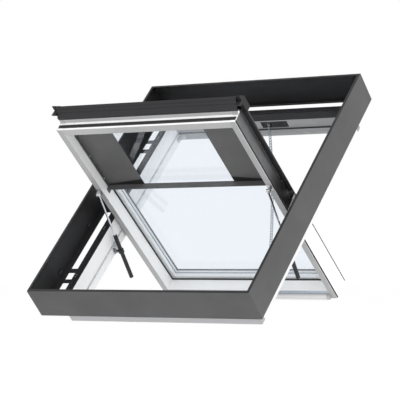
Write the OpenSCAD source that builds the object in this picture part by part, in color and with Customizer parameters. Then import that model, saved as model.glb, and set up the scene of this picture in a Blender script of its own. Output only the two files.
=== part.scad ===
// Centre-pivot roof skylight with a wind deflector ring, set on a pitched roof and standing open.
// Millimetres. +Z is up, +X runs along the pivot axis, and the roof rises towards +Y.
// The origin is the middle of the seating face of the bottom frame member.

/* [Setting] */
// Slope of the roof plane, degrees
roof_pitch = 45; // [30:1:60]
// Opening angle of the sash in the rest pose, degrees
open_angle = 85; // [60:1:88]

/* [Frame] */
// Outer width of the frame
frame_w = 940; // [780:1:1150]
// Outer length of the frame along the slope
frame_l = 1180; // [980:1:1420]
// Wall of the side members
frame_wall = 24; // [20:0.5:30]
// Wall of the end members
frame_end = 29; // [24:0.5:36]
// Frame depth below the deflector's lower edge
frame_below = 100; // [85:1:120]
// Top of the side members above the deflector's lower edge
frame_top = 14; // [10:0.5:16]
// Thickness of the sheet casings
casing_t = 2; // [1.5:0.1:3]

/* [Deflector ring] */
// Clear space between the frame's sides and the ring's outside
ring_gap = 70; // [55:1:90]
// Height of the ring's panels
ring_h = 149; // [120:1:180]
// Sheet thickness of the ring
ring_t = 2; // [1.5:0.1:3]
// Width of the folded lip
lip_w = 12; // [8:0.5:20]
// Width of a holding strap
strap_w = 24; // [16:1:34]
// Thickness of a holding strap
strap_t = 3; // [2:0.1:5]

/* [Sash] */
// Gap between the sash's sides and the frame
sash_gap = 8; // [6:0.5:12]
// Gap between the sash's ends and the frame
sash_end_gap = 13; // [11:0.5:18]
// Width of the side stiles' inner face
stile_w = 28; // [22:0.5:36]
// Width of the bottom rail's inner face
bottom_rail_w = 33; // [26:0.5:42]
// Width of the top rail's inner face
top_rail_w = 50; // [44:0.5:64]
// Thickness of the sash
sash_t = 100; // [92:1:110]
// Depth of the glass below the sash's inner face
glass_depth = 62; // [56:0.5:66]
// Thickness of one pane
pane_t = 4; // [3:0.1:6]
// Space between the panes
pane_gap = 16; // [12:0.5:18]
// Reach of the drip wing beyond the sash's bottom end
wing_reach = 65; // [50:1:72]

/* [Screen] */
// Width of a side plate of the screen
plate_w = 185; // [140:1:230]
// Length of the screen from the bottom rail to its cross bar
screen_l = 367; // [300:1:440]
// Height of the cross bar
bar_h = 30; // [20:0.5:38]

/* [Stays] */
// Radius of the stay's tube
tube_r = 9; // [7:0.1:10]
// Radius of the stay's rod
rod_r = 4.5; // [3.5:0.1:5.5]
// Length of the stay's tube
tube_l = 222; // [190:1:250]

/* [Chain drive] */
// Length of the drive's housing
drive_l = 134; // [110:1:160]
// Height of the drive's housing
drive_h = 36; // [28:1:38]
// Width of the push chain
chain_w = 12; // [8:0.5:16]

/* [Hidden] */
e = 0.01;
seat_n = -frame_below;
fw2 = frame_w / 2;
fl2 = frame_l / 2;
iw2 = fw2 - frame_wall;
il2 = fl2 - frame_end;
rw2 = fw2 + ring_gap;
rl2 = fl2 + ring_gap - 2;
sw2 = iw2 - sash_gap;
sl2 = il2 - sash_end_gap;
face_n = -50;
pivot_s = -1;
pivot_n = 37.5;
gw2 = sw2 - stile_w;
g_lo = -sl2 + bottom_rail_w;
g_hi = sl2 - top_rail_w;
ext_n = face_n + sash_t;
glass_n = face_n + glass_depth;
unit_t = 2 * pane_t + pane_gap;
pin_r = 8;
// stay geometry, in the window's own plane: along the slope, then outward
stay_x = sw2 - 17;
pin_t = 383 / 1096 * 2 * sl2;
pin_s0 = -sl2 + pin_t;
pin_n0 = face_n - 20;
function turned(s, n, a) = [pivot_s + (s - pivot_s) * cos(a) - (n - pivot_n) * sin(a),
                            pivot_n + (s - pivot_s) * sin(a) + (n - pivot_n) * cos(a)];
pin_open = turned(pin_s0, pin_n0, -open_angle);
trun = [pin_s0 - 7, -96];
stay_dir = atan2(pin_open[1] - trun[1], pin_open[0] - trun[0]);
stay_len = norm(pin_open - trun);
tube_up = 82;
rod_l = stay_len - tube_up + 15;
// chain path
chain_x = 48;
chain_a = turned(sl2 - 6, face_n + 20, -open_angle);
chain_b = [il2 + 3, -30];
chain_n = 38;
function bez(t) = pow(1 - t, 3) * chain_a + 3 * pow(1 - t, 2) * t * (chain_a + [171, -35])
    + 3 * (1 - t) * t * t * (chain_b + [-56, -100]) + pow(t, 3) * chain_b;
drive_x = chain_x + 30;

dark = [0.2, 0.2, 0.21];
alu = [0.85, 0.86, 0.87];
white = [0.93, 0.93, 0.93];
rubber = [0.06, 0.06, 0.07];
steel = [0.7, 0.71, 0.73];

// frame: window plane to the row frame
module placed() {
  rotate([roof_pitch, 0, 0])
    translate([0, fl2 - frame_end / 2, frame_below]) children();
}
// sash: drawn closed, turned open about the pivot
module opened() {
  placed()
    translate([0, pivot_s, pivot_n]) rotate([-open_angle, 0, 0]) translate([0, -pivot_s, -pivot_n]) children();
}
module box(a, b) { translate(a) cube(b - a); }
// profile of (outward, depth) points run along the slope between two stations
module along_s(s0, s1) { translate([0, s1, 0]) rotate([90, 0, 0]) linear_extrude(s1 - s0) children(); }
// profile of (slope, depth) points run across the window
module along_x(x0, x1) { translate([x0, 0, 0]) rotate([90, 0, 90]) linear_extrude(x1 - x0) children(); }
module screw_n(x, s, n, r = 3.5, h = 2.2, leg = 8) {
  translate([x, s, n]) { cylinder(r = r, h = h, $fn = 32); translate([0, 0, -leg]) cylinder(r = r * 0.45, h = leg + e, $fn = 24); }
}
module hole_n(x, s, n, r = 1.6, leg = 8) { translate([x, s, n - leg - 0.2]) cylinder(r = r, h = leg + 1, $fn = 24); }

// ---------- frame ----------
module side_profile(m) {
  // lower leg, rebate step and grooves of a side member
  polygon([[m * iw2, seat_n], [m * fw2, seat_n], [m * fw2, frame_top], [m * iw2, frame_top],
           [m * iw2, -42], [m * (iw2 + 1.6), -43.5], [m * (iw2 + 1.6), -47], [m * iw2, -48.5],
           [m * iw2, -78], [m * (iw2 + 1.2), -79], [m * (iw2 + 1.2), -81], [m * iw2, -82]]);
}
fix_s = [-fl2 * 0.62, 0, fl2 * 0.62];
module frame_side(m) {
  difference() {
    along_s(-il2, il2) side_profile(m);
    for (s = fix_s) translate([m * fw2, s, -66]) rotate([0, -m * 90, 0]) {
      translate([0, 0, -1]) cylinder(r = 3.5, h = frame_wall + 2, $fn = 32);
    }
    // stay bracket screws
    for (q = [-14, 14]) translate([m * (iw2 - 1), trun[0] + q, trun[1] + 19]) rotate([0, m * 90, 0]) cylinder(r = 2, h = 13, $fn = 24);
    // pivot housing screws
    for (q = [-26, 26]) hole_n(m * (iw2 + 12), pivot_s + q, frame_top + 0.2, 2, 20);
    // casing and strap screws
    for (q = strap_s) for (d = [-6, 6]) hole_n(m * (fw2 - 5), q + d, frame_top + 0.2, 1.6, 12);
  }
}
module frame_side_left() { color(white) placed() frame_side(-1); }
module frame_side_right() { color(white) placed() frame_side(1); }

module frame_bottom_member() {
  color(white) placed() difference() {
    along_x(-fw2, fw2) polygon([[-fl2, seat_n], [-il2, seat_n], [-il2, -82], [-il2 - 1.2, -81], [-il2 - 1.2, -79], [-il2, -78],
      [-il2, -48.5], [-il2 - 1.6, -47], [-il2 - 1.6, -43.5], [-il2, -42], [-il2, -14], [-fl2, -14],
      [-fl2, -66], [-fl2 + 3, -67], [-fl2 + 3, -71], [-fl2, -72]]);
    for (x = [-240, 0, 240]) translate([x, -fl2 - 1, -40]) rotate([-90, 0, 0]) cylinder(r = 3.5, h = frame_end + 2, $fn = 32);
    for (x = strap_x(-1)) for (d = [-6, 6]) hole_n(x + d, -fl2 + 5, -14, 1.6, 12);
    corner_holes(-1);
  }
}
module frame_top_member() {
  color(white) placed() difference() {
    along_x(-fw2, fw2) polygon([[il2, seat_n], [fl2, seat_n], [fl2, frame_top + 11], [il2 + casing_t, frame_top + 11], [il2 + casing_t, -11],
      [il2, -11], [il2, -42], [il2 + 1.6, -43.5], [il2 + 1.6, -47], [il2, -48.5], [il2, -78], [il2 + 1.2, -79], [il2 + 1.2, -81], [il2, -82]]);
    box([drive_x - drive_l / 2 - 1, il2 - 1, -drive_h - 17], [drive_x + drive_l / 2 + 1, fl2 + 1, -16.5]);
    for (x = [-240, -60, 300]) translate([x, fl2 + 1, -40]) rotate([90, 0, 0]) cylinder(r = 3.5, h = frame_end + 2, $fn = 32);
    for (x = strap_x(1)) for (d = [-6, 6]) hole_n(x + d, fl2 - 5, frame_top + 11 + casing_t, 1.6, 12);
    corner_holes(1);
  }
}
// screwed inner corner angles that tie the members
module angle_at(mx, ms) {
  translate([mx * iw2, ms * il2, -95]) mirror([mx > 0 ? 1 : 0, 0, 0]) mirror([0, ms > 0 ? 1 : 0, 0])
    difference() {
      union() { cube([30, 2, 24]); cube([2, 30, 24]); }
      translate([20, -1, 12]) rotate([-90, 0, 0]) cylinder(r = 2.2, h = 4, $fn = 24);
      translate([-1, 20, 12]) rotate([0, 90, 0]) cylinder(r = 2.2, h = 4, $fn = 24);
    }
}
module corner_holes(ms) {
  for (mx = [-1, 1]) translate([mx * (iw2 - 20), ms * (il2 - 1), -83]) rotate([-ms * 90, 0, 0]) cylinder(r = 1.8, h = 14, $fn = 24);
}
module frame_corner_angles() { color(steel) placed() for (mx = [-1, 1]) for (ms = [-1, 1]) angle_at(mx, ms); }

module casing_side(m) {
  difference() {
    union() {
      box([min(m * iw2, m * (fw2 + casing_t)), -il2, frame_top], [max(m * iw2, m * (fw2 + casing_t)), il2, frame_top + casing_t]);
      box([min(m * fw2, m * (fw2 + casing_t)), -il2, frame_top - 30], [max(m * fw2, m * (fw2 + casing_t)), il2, frame_top + e]);
    }
    for (q = [-26, 26]) hole_n(m * (iw2 + 12), pivot_s + q, frame_top + casing_t + 0.5, 2, 20);
    for (q = strap_s) for (d = [-6, 6]) hole_n(m * (fw2 - 5), q + d, frame_top + casing_t + 0.2, 1.6, 12);
  }
}
module casing_left() { color(dark) placed() casing_side(-1); }
module casing_right() { color(dark) placed() casing_side(1); }
module casing_top() {
  color(dark) placed() difference() {
    union() {
      box([-iw2 + e, il2, -10.9], [iw2 - e, il2 + casing_t, frame_top + 11 + e]);
      box([-fw2 - casing_t, il2, frame_top + 11], [fw2 + casing_t, fl2 + casing_t, frame_top + 11 + casing_t]);
      box([-fw2 - casing_t, fl2, frame_top - 20], [fw2 + casing_t, fl2 + casing_t, frame_top + 11 + e]);
    }
    for (x = strap_x(1)) for (d = [-6, 6]) hole_n(x + d, fl2 - 5, frame_top + 11 + casing_t + 0.5, 1.6, 12);
  }
}
module frame_gasket() {
  color(rubber) placed() {
    for (m = [-1, 1]) along_s(-il2 + 0.2, il2 - 0.2) polygon([[m * iw2, -63], [m * (iw2 - 3.5), -61.5], [m * (iw2 - 3.5), -57.5], [m * iw2, -56]]);
    for (m = [-1, 1]) along_x(-iw2 + 3.7, iw2 - 3.7) polygon([[m * il2, -63], [m * (il2 - 4.5), -61.5], [m * (il2 - 4.5), -57.5], [m * il2, -56]]);
  }
}

// ---------- deflector ring ----------
strap_s = [-fl2 + 150, -fl2 * 0.25, fl2 * 0.25, fl2 - 150];
// the lower straps stand further in, clear of the drip wing's caps
function strap_x(k) = k > 0 ? [-fw2 + 15, fw2 - 15] : [-fw2 + 60, fw2 - 60];
// slots along a side flange: from, to
slot_s = [[-fl2 + 40, -fl2 + 108], [-fl2 + 129, -fl2 + 169], [-fl2 + 193, -46], [46, fl2 - 248], [fl2 - 225, fl2 - 184], [fl2 - 164, fl2 - 93]];
slot_x = [fw2 + 9, rw2 - 25];
corner_len = 178;
// foot folded in at the panels' lower edge, with a short upstand
foot_w = 12;
foot_h = 10;
leg_h = 34;
module ring_side(m) {
  // panel with a folded lip, mitred at the corners
  difference() {
    union() {
      box([min(m * (rw2 - ring_t), m * rw2), -rl2 + ring_t, 0], [max(m * (rw2 - ring_t), m * rw2), rl2 - ring_t, ring_h]);
      box([min(m * (rw2 - lip_w), m * rw2), -rl2 + ring_t, ring_h - ring_t], [max(m * (rw2 - lip_w), m * rw2), rl2 - ring_t, ring_h]);
      box([min(m * (rw2 - foot_w), m * rw2), -rl2 + foot_w, 0], [max(m * (rw2 - foot_w), m * rw2), rl2 - foot_w, ring_t]);
      box([min(m * (rw2 - foot_w), m * (rw2 - foot_w + ring_t)), -rl2 + foot_w, 0], [max(m * (rw2 - foot_w), m * (rw2 - foot_w + ring_t)), rl2 - foot_w, foot_h]);
      for (k = [-1, 1]) box([min(m * (rw2 - 26), m * (rw2 - ring_t + e)), min(k * (rl2 - ring_t), k * (rl2 - 2 * ring_t)), 10],
        [max(m * (rw2 - 26), m * (rw2 - ring_t + e)), max(k * (rl2 - ring_t), k * (rl2 - 2 * ring_t)), ring_h - 22]);
    }
    for (k = [-1, 1]) translate([m * (rw2 - ring_t - 12), k * (rl2 - ring_t - 12), ring_h - ring_t - 1])
      box([min(0, -m * lip_w * 2) - (m < 0 ? 0 : 0), min(0, k * 14), 0], [max(0, -m * lip_w * 2), max(0, k * 14), ring_t + 2]);
    for (q = strap_s) for (d = [-6, 6]) translate([m * (rw2 - ring_t - 1) , q + d, strap_level + leg_h - 10]) rotate([0, m * 90, 0]) cylinder(r = 2, h = ring_t + 2, $fn = 24);
  }
}
strap_level = frame_top + casing_t;
module ring_end(k) {
  difference() {
    union() {
      box([-rw2, min(k * (rl2 - ring_t), k * rl2), 0], [rw2, max(k * (rl2 - ring_t), k * rl2), ring_h]);
      box([-rw2 + lip_w, min(k * (rl2 - lip_w), k * rl2), ring_h - ring_t], [rw2 - lip_w, max(k * (rl2 - lip_w), k * rl2), ring_h]);
      box([-rw2 + ring_t + 0.1, min(k * (rl2 - foot_w + 0.1), k * rl2), 0], [rw2 - ring_t - 0.1, max(k * (rl2 - foot_w + 0.1), k * rl2), ring_t]);
      box([-rw2 + foot_w, min(k * (rl2 - foot_w + 0.1), k * (rl2 - foot_w + ring_t)), 0], [rw2 - foot_w, max(k * (rl2 - foot_w + 0.1), k * (rl2 - foot_w + ring_t)), foot_h]);
    }
    if (k < 0) for (x = strap_x(k)) box([x - strap_w / 2 - 1, -rl2 + foot_w - ring_t - 1, ring_t], [x + strap_w / 2 + 1, -rl2 + foot_w + 1, foot_h + 1]);
    for (x = strap_x(k)) for (d = [-6, 6]) translate([x + d, k * (rl2 - ring_t - 1), leg_level(k) + leg_h - 10]) rotate([-k * 90, 0, 0]) cylinder(r = 2, h = ring_t + 2, $fn = 24);
  }
}
function end_level(k) = k > 0 ? frame_top + 11 + casing_t : -14;
function leg_level(k) = k > 0 ? end_level(k) : ring_t;
module deflector_left() { color(dark) placed() ring_side(-1); }
module deflector_right() { color(dark) placed() ring_side(1); }
module deflector_bottom() { color(dark) placed() ring_end(-1); }
module deflector_top() { color(dark) placed() ring_end(1); }
module side_flange(m) {
  // slotted plate between the frame and the side panel, with tabs riveted to the panel
  difference() {
    union() {
      box([min(m * (fw2 - 10), m * (rw2 - ring_t)), -fl2 + 8, strap_level], [max(m * (fw2 - 10), m * (rw2 - ring_t)), fl2 - 8, strap_level + strap_t]);
      for (s = strap_s) box([min(m * (rw2 - ring_t - strap_t), m * (rw2 - ring_t)), s - strap_w / 2, strap_level], [max(m * (rw2 - ring_t - strap_t), m * (rw2 - ring_t)), s + strap_w / 2, strap_level + leg_h]);
    }
    for (q = slot_s) box([min(m * slot_x[0], m * slot_x[1]), q[0], strap_level - 1], [max(m * slot_x[0], m * slot_x[1]), q[1], strap_level + strap_t + 1]);
    box([min(m * (fw2 - 11), m * (fw2 + 1)), pivot_s - 40, strap_level - 1], [max(m * (fw2 - 11), m * (fw2 + 1)), pivot_s + 40, strap_level + strap_t + 1]);
    // clear of the top member
    box([min(m * (fw2 - 11), m * (fw2 + casing_t + 1)), il2 - 1, strap_level - 1], [max(m * (fw2 - 11), m * (fw2 + casing_t + 1)), fl2, strap_level + strap_t + 1]);
    for (s = strap_s) for (d = [-6, 6]) {
      hole_n(m * (fw2 - 5), s + d, strap_level + strap_t + 0.5, 1.6, 12);
      translate([m * (rw2 - ring_t - strap_t - 1), s + d, strap_level + leg_h - 10]) rotate([0, m * 90, 0]) cylinder(r = 2, h = strap_t + 2, $fn = 24);
    }
  }
}
module side_flange_left() { color(dark) placed() side_flange(-1); }
module side_flange_right() { color(dark) placed() side_flange(1); }
module strap_s_bar(k, x) {
  lv = leg_level(k);
  difference() {
    union() {
      box([x - strap_w / 2, min(k * (fl2 - 10), k * (fl2 + casing_t + strap_t)), end_level(k)], [x + strap_w / 2, max(k * (fl2 - 10), k * (fl2 + casing_t + strap_t)), end_level(k) + strap_t]);
      box([x - strap_w / 2, min(k * (fl2 + casing_t), k * (fl2 + casing_t + strap_t)), end_level(k)], [x + strap_w / 2, max(k * (fl2 + casing_t), k * (fl2 + casing_t + strap_t)), lv + strap_t]);
      box([x - strap_w / 2, min(k * (fl2 + casing_t), k * (rl2 - ring_t)), lv], [x + strap_w / 2, max(k * (fl2 + casing_t), k * (rl2 - ring_t)), lv + strap_t]);
      box([x - strap_w / 2, min(k * (rl2 - ring_t - strap_t), k * (rl2 - ring_t)), lv], [x + strap_w / 2, max(k * (rl2 - ring_t - strap_t), k * (rl2 - ring_t)), lv + leg_h]);
    }
    for (d = [-6, 6]) hole_n(x + d, k * (fl2 - 5), end_level(k) + strap_t + 0.5, 1.6, 12);
    for (d = [-6, 6]) translate([x + d, k * (rl2 - ring_t - strap_t - 1), leg_level(k) + leg_h - 10]) rotate([-k * 90, 0, 0]) cylinder(r = 2, h = strap_t + 2, $fn = 24);
  }
}
module end_straps() { color(dark) placed() for (k = [-1, 1]) for (x = strap_x(k)) strap_s_bar(k, x); }
module strap_screws() {
  color(steel) placed() {
    for (m = [-1, 1]) for (s = strap_s) for (d = [-6, 6]) screw_n(m * (fw2 - 5), s + d, strap_level + strap_t, 2.6, 2, 12);
    for (k = [-1, 1]) for (x = strap_x(k)) for (d = [-6, 6]) screw_n(x + d, k * (fl2 - 5), end_level(k) + strap_t, 2.6, 2, 12);
  }
}
module rivet(len) { cylinder(r = 3, h = 0.5, $fn = 32); translate([0, 0, -len - 0.5]) cylinder(r = 1.9, h = len + 0.5 + e, $fn = 24); translate([0, 0, -len - 1.4]) cylinder(r = 3.2, h = 1.4, $fn = 32); }
module strap_rivets() {
  color(dark) placed() {
    for (m = [-1, 1]) for (s = strap_s) for (d = [-6, 6])
      translate([m * rw2, s + d, strap_level + leg_h - 10]) rotate([0, m * 90, 0]) rivet(ring_t + strap_t);
    for (k = [-1, 1]) for (x = strap_x(k)) for (d = [-6, 6])
      translate([x + d, k * rl2, leg_level(k) + leg_h - 10]) rotate([-k * 90, 0, 0]) rivet(ring_t + strap_t);
  }
}
module corner_plates() {
  // stiffening plates inside the ends of the side panels
  color(dark) placed() for (m = [-1, 1]) for (k = [-1, 1])
    box([min(m * (rw2 - ring_t - 1.2), m * (rw2 - ring_t)), min(k * (rl2 - 5), k * (rl2 - 4 - corner_len)), 10 + strap_level],
        [max(m * (rw2 - ring_t - 1.2), m * (rw2 - ring_t)), max(k * (rl2 - 5), k * (rl2 - 4 - corner_len)), ring_h - ring_t - 14]);
  color(dark) placed() for (m = [-1, 1]) for (k = [-1, 1]) {
    for (n = [44, ring_h - 34]) translate([m * (rw2 - ring_t - 1.2), k * (rl2 - 30), n]) rotate([0, -m * 90, 0]) cylinder(r = 3.5, h = 1.4, $fn = 32);
    translate([m * (rw2 - ring_t), k * (rl2 - corner_len - 48), ring_h - 33]) rotate([0, -m * 90, 0]) cylinder(r = 3.5, h = 1.6, $fn = 32);
  }
}

// ---------- pivot ----------
module pivot_housing(m) {
  difference() {
    union() {
      box([min(m * (iw2 + 1), m * (iw2 + 23)), pivot_s - 36, strap_level], [max(m * (iw2 + 1), m * (iw2 + 23)), pivot_s + 36, strap_level + 7]);
      box([min(m * (iw2 + 1), m * (iw2 + 23)), pivot_s - 17, strap_level], [max(m * (iw2 + 1), m * (iw2 + 23)), pivot_s + 17, pivot_n]);
      translate([m * (iw2 + 1), pivot_s, pivot_n]) rotate([0, m * 90, 0]) cylinder(r = 17, h = 22, $fn = 64);
    }
    translate([m * iw2, pivot_s, pivot_n]) rotate([0, m * 90, 0]) cylinder(r = pin_r + 0.08, h = 24, $fn = 64);
    for (q = [-26, 26]) hole_n(m * (iw2 + 12), pivot_s + q, strap_level + 8, 2.2, 12);
  }
}
module pivot_housing_left() { color(dark) placed() pivot_housing(-1); }
module pivot_housing_right() { color(dark) placed() pivot_housing(1); }
module pivot_pins() {
  color(steel) opened() for (m = [-1, 1]) {
    translate([m * (sw2 + 3), pivot_s, pivot_n]) rotate([0, m * 90, 0]) cylinder(r = pin_r, h = sash_gap + 24, $fn = 64);
    translate([m * sw2, pivot_s, pivot_n]) rotate([0, m * 90, 0]) cylinder(r = 12, h = 3 + e, $fn = 64);
  }
}

module bracket_screws() {
  color(steel) placed() for (m = [-1, 1]) {
    for (q = [-26, 26]) screw_n(m * (iw2 + 12), pivot_s + q, strap_level + 7, 4, 2.4, 20);
    for (q = [-14, 14]) translate([m * (iw2 - 3), trun[0] + q, trun[1] + 19]) rotate([0, m * 90, 0]) {
      translate([0, 0, -1.5]) cylinder(r = 3.6, h = 1.5, $fn = 32);
      translate([0, 0, -0.5]) cylinder(r = 1.9, h = 14.5, $fn = 24);
    }
  }
}

// ---------- stays ----------
module in_stay() { translate([0, trun[0], trun[1]]) rotate([stay_dir - 90, 0, 0]) children(); }
module stay_brackets() {
  color(steel) placed() for (m = [-1, 1]) difference() {
    union() {
      box([min(m * iw2, m * (iw2 - 3)), trun[0] - 20, trun[1] - 3], [max(m * iw2, m * (iw2 - 3)), trun[0] + 20, trun[1] + 26]);
      translate([m * iw2, trun[0], trun[1]]) rotate([0, -m * 90, 0]) cylinder(r = 10, h = 5, $fn = 48);
    }
    translate([m * (iw2 - 9), trun[0], trun[1]]) rotate([0, m * 90, 0]) cylinder(r = 4.06, h = 12, $fn = 48);
    for (q = [-14, 14]) translate([m * (iw2 + 1), trun[0] + q, trun[1] + 19]) rotate([0, -m * 90, 0]) cylinder(r = 2, h = 8, $fn = 24);
  }
}
module stay_collar(m) {
  placed() translate([m * stay_x, 0, 0]) in_stay() {
    difference() {
      union() {
        translate([0, 0, -8]) cylinder(r = tube_r + 4, h = 16, $fn = 64);
        rotate([0, m * 90, 0]) translate([0, 0, tube_r + 2]) cylinder(r = 4, h = iw2 - stay_x - tube_r - 2.5, $fn = 48);
      }
      translate([0, 0, -9]) cylinder(r = tube_r + 0.1, h = 18, $fn = 64);
    }
  }
}
module stay_collar_left() { color(dark) stay_collar(-1); }
module stay_collar_right() { color(dark) stay_collar(1); }
module stay_tube(m) {
  placed() translate([m * stay_x, 0, 0]) in_stay() difference() {
    translate([0, 0, tube_up - tube_l]) cylinder(r = tube_r, h = tube_l, $fn = 64);
    translate([0, 0, tube_up - tube_l + 5]) cylinder(r = tube_r - 1.5, h = tube_l - 13, $fn = 64);
    translate([0, 0, tube_up - 9]) cylinder(r = rod_r + 0.1, h = 10, $fn = 48);
  }
}
module stay_tube_left() { color(dark) stay_tube(-1); }
module stay_tube_right() { color(dark) stay_tube(1); }
module stay_rod(m) {
  placed() translate([m * stay_x, 0, 0]) in_stay() union() {
    translate([0, 0, stay_len - rod_l]) cylinder(r = rod_r, h = rod_l - 6, $fn = 48);
    translate([0, 0, stay_len - rod_l - 4]) cylinder(r = tube_r - 1.6, h = 6, $fn = 64);
    translate([-4, 0, stay_len]) rotate([0, 90, 0]) cylinder(r = 8, h = 8, $fn = 48);
  }
}
module stay_rod_left() { color(steel) stay_rod(-1); }
module stay_rod_right() { color(steel) stay_rod(1); }
module rod_brackets() {
  color(steel) opened() for (m = [-1, 1]) {
    box([min(m * (gw2 + 1), m * (sw2 - 1)), pin_s0 - 16, face_n - 2.5], [max(m * (gw2 + 1), m * (sw2 - 1)), pin_s0 + 16, face_n]);
    difference() {
      union() {
        box([min(m * (stay_x + 5), m * (stay_x + 8)), pin_s0 - 9, pin_n0], [max(m * (stay_x + 5), m * (stay_x + 8)), pin_s0 + 9, face_n - 2]);
        translate([m * (stay_x + 5), pin_s0, pin_n0]) rotate([0, m * 90, 0]) cylinder(r = 9, h = 3, $fn = 48);
      }
    }
    translate([m * (stay_x + 8 - e), pin_s0, pin_n0]) rotate([0, m * 90, 0]) cylinder(r = 5, h = 3, $fn = 32);
  }
}

// ---------- chain drive ----------
module drive_housing() {
  color(dark) placed() difference() {
    box([drive_x - drive_l / 2 + 6, il2 + 2, -drive_h - 16], [drive_x + drive_l / 2 - 6, fl2 + 26, -17.5]);
    box([chain_x - 9, il2, -50], [chain_x + 9, fl2 + 10, -20]);
  }
}
module drive_end_caps() {
  color(dark) placed() for (m = [-1, 1])
    box([drive_x + (m < 0 ? -drive_l / 2 : drive_l / 2 - 6), il2 + 1, -drive_h - 16.5], [drive_x + (m < 0 ? -drive_l / 2 + 6 : drive_l / 2), fl2 + 27, -17]);
}
module drive_nozzle() {
  color(steel) placed() difference() {
    box([chain_x - 9, il2 + 0.5, -50], [chain_x + 9, il2 + 12, -20]);
    box([chain_x - 6.4, il2 - 1, -47], [chain_x + 6.4, il2 + 13, -22]);
  }
}
module chain_link(p, q, w, r) {
  a = atan2(q[1] - p[1], q[0] - p[0]);
  len = norm(q - p);
  translate([chain_x - w / 2, p[0], p[1]]) rotate([a, 0, 0]) rotate([90, 0, 90]) linear_extrude(w)
    union() { circle(r = r, $fn = 24); translate([len, 0]) circle(r = r, $fn = 24); translate([0, 1.3 - r]) square([len, 2 * r - 2.6]); }
}
module push_chain() {
  color(steel) placed() for (i = [0:chain_n - 1])
    if (i % 2 == 0) chain_link(bez(i / chain_n), bez((i + 1) / chain_n), chain_w, 4.5);
    else chain_link(bez(i / chain_n), bez((i + 1) / chain_n), chain_w - 4, 3.8);
}
module chain_bracket() {
  color(steel) opened() for (m = [-1, 1])
    box([chain_x + (m < 0 ? -10 : 6.4), sl2 - 22, face_n + 8], [chain_x + (m < 0 ? -6.4 : 10), sl2 - 0.5, face_n + 34]);
}

// ---------- sash ----------
module stile(m) {
  difference() {
    union() {
    along_s(-sl2, sl2) polygon([[m * gw2, face_n], [m * (sw2 - 1.5), face_n], [m * sw2, face_n + 1.5], [m * sw2, face_n + 3.5], [m * (sw2 - 3), face_n + 4],
      [m * (sw2 - 3), face_n + 9], [m * sw2, face_n + 9.5], [m * sw2, face_n + 50], [m * (sw2 - 2), face_n + 51], [m * (sw2 - 2), face_n + 53.5], [m * sw2, face_n + 54.5],
      [m * sw2, ext_n - 2], [m * (gw2 - 18), ext_n - 2], [m * (gw2 - 18), glass_n + unit_t], [m * (gw2 + 6), glass_n + unit_t],
      [m * (gw2 + 6), glass_n - 4.5], [m * gw2, glass_n - 4.5],
      [m * gw2, face_n + 44], [m * (gw2 + 1.2), face_n + 43], [m * (gw2 + 1.2), face_n + 41], [m * gw2, face_n + 40]]);
    // nose under the drip wing
    along_x(min(m * gw2, m * (sw2 - 0.5)), max(m * gw2, m * (sw2 - 0.5))) polygon([[-sl2 + 1, face_n + 42], [-sl2, face_n + 42], [-sl2 - 12.8, face_n + 46], [-sl2 - 12.8, face_n + 55.8], [-sl2 + 1, face_n + 55.8]]);
    }
    // end gasket's groove and a parting line
    box([min(m * (gw2 - 1), m * (sw2 - 4)), -sl2 - 1, face_n + 10.5], [max(m * (gw2 - 1), m * (sw2 - 4)), -sl2 + 3, face_n + 28]);
    box([min(m * (gw2 - 1), m * (sw2 + 1)), -sl2 - 1, face_n + 38], [max(m * (gw2 - 1), m * (sw2 + 1)), -sl2 + 2, face_n + 40]);
    // rod bracket screws
    for (k = [-1, 1]) translate([m * (gw2 + 1), pin_s0 + k * 11, face_n - 1]) cylinder(r = 1.2, h = 9, $fn = 24);
  }
}
module sash_stile_left() { color(alu) opened() stile(-1); }
module sash_stile_right() { color(alu) opened() stile(1); }
// room in the rails for the stiles' outer lips
module lip_clear() {
  for (m = [-1, 1]) box([min(m * (gw2 - 18), m * (gw2 + 1)), -sl2 - 1, glass_n + unit_t], [max(m * (gw2 - 18), m * (gw2 + 1)), sl2 + 1, ext_n]);
}
module sash_bottom_rail() {
  color(alu) opened() difference() {
    along_x(-gw2, gw2) polygon([[g_lo, face_n], [-sl2, face_n], [-sl2, face_n + 10], [-sl2 + 3, face_n + 10.5], [-sl2 + 3, face_n + 28],
      [-sl2, face_n + 28.5], [-sl2, face_n + 37], [-sl2 + 2, face_n + 38], [-sl2 + 2, face_n + 40], [-sl2, face_n + 41], [-sl2, face_n + 42], [-sl2 - 12.8, face_n + 46],
      [-sl2 - 12.8, face_n + 55.8], [-sl2, face_n + 55.8], [-sl2, ext_n - 2], [g_lo + 18, ext_n - 2],
      [g_lo + 18, glass_n + unit_t], [g_lo - 6, glass_n + unit_t], [g_lo - 6, glass_n - 4.5], [g_lo, glass_n - 4.5]]);
    lip_clear();
  }
}
module sash_top_rail() {
  color(alu) opened() difference() {
    along_x(-gw2, gw2) polygon([[g_hi, face_n], [sl2, face_n], [sl2, ext_n - 2], [g_hi - 18, ext_n - 2], [g_hi - 18, glass_n + unit_t],
      [g_hi + 6, glass_n + unit_t], [g_hi + 6, glass_n - 4.5], [g_hi, glass_n - 4.5]]);
    lip_clear();
    box([chain_x - 10, sl2 - 22, face_n + 6], [chain_x + 10, sl2 + 1, ext_n + 1]);
    box([-gw2 + 14, g_hi + 4, face_n - 1], [gw2 - 14, g_hi + 16, face_n + 4]);
  }
}
module vent_strip() { color([0.75, 0.8, 0.88]) opened() box([-gw2 + 14.2, g_hi + 4.2, face_n + 0.5], [gw2 - 14.2, g_hi + 15.8, face_n + 4]); }
flap_s = sl2 - 29;
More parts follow.
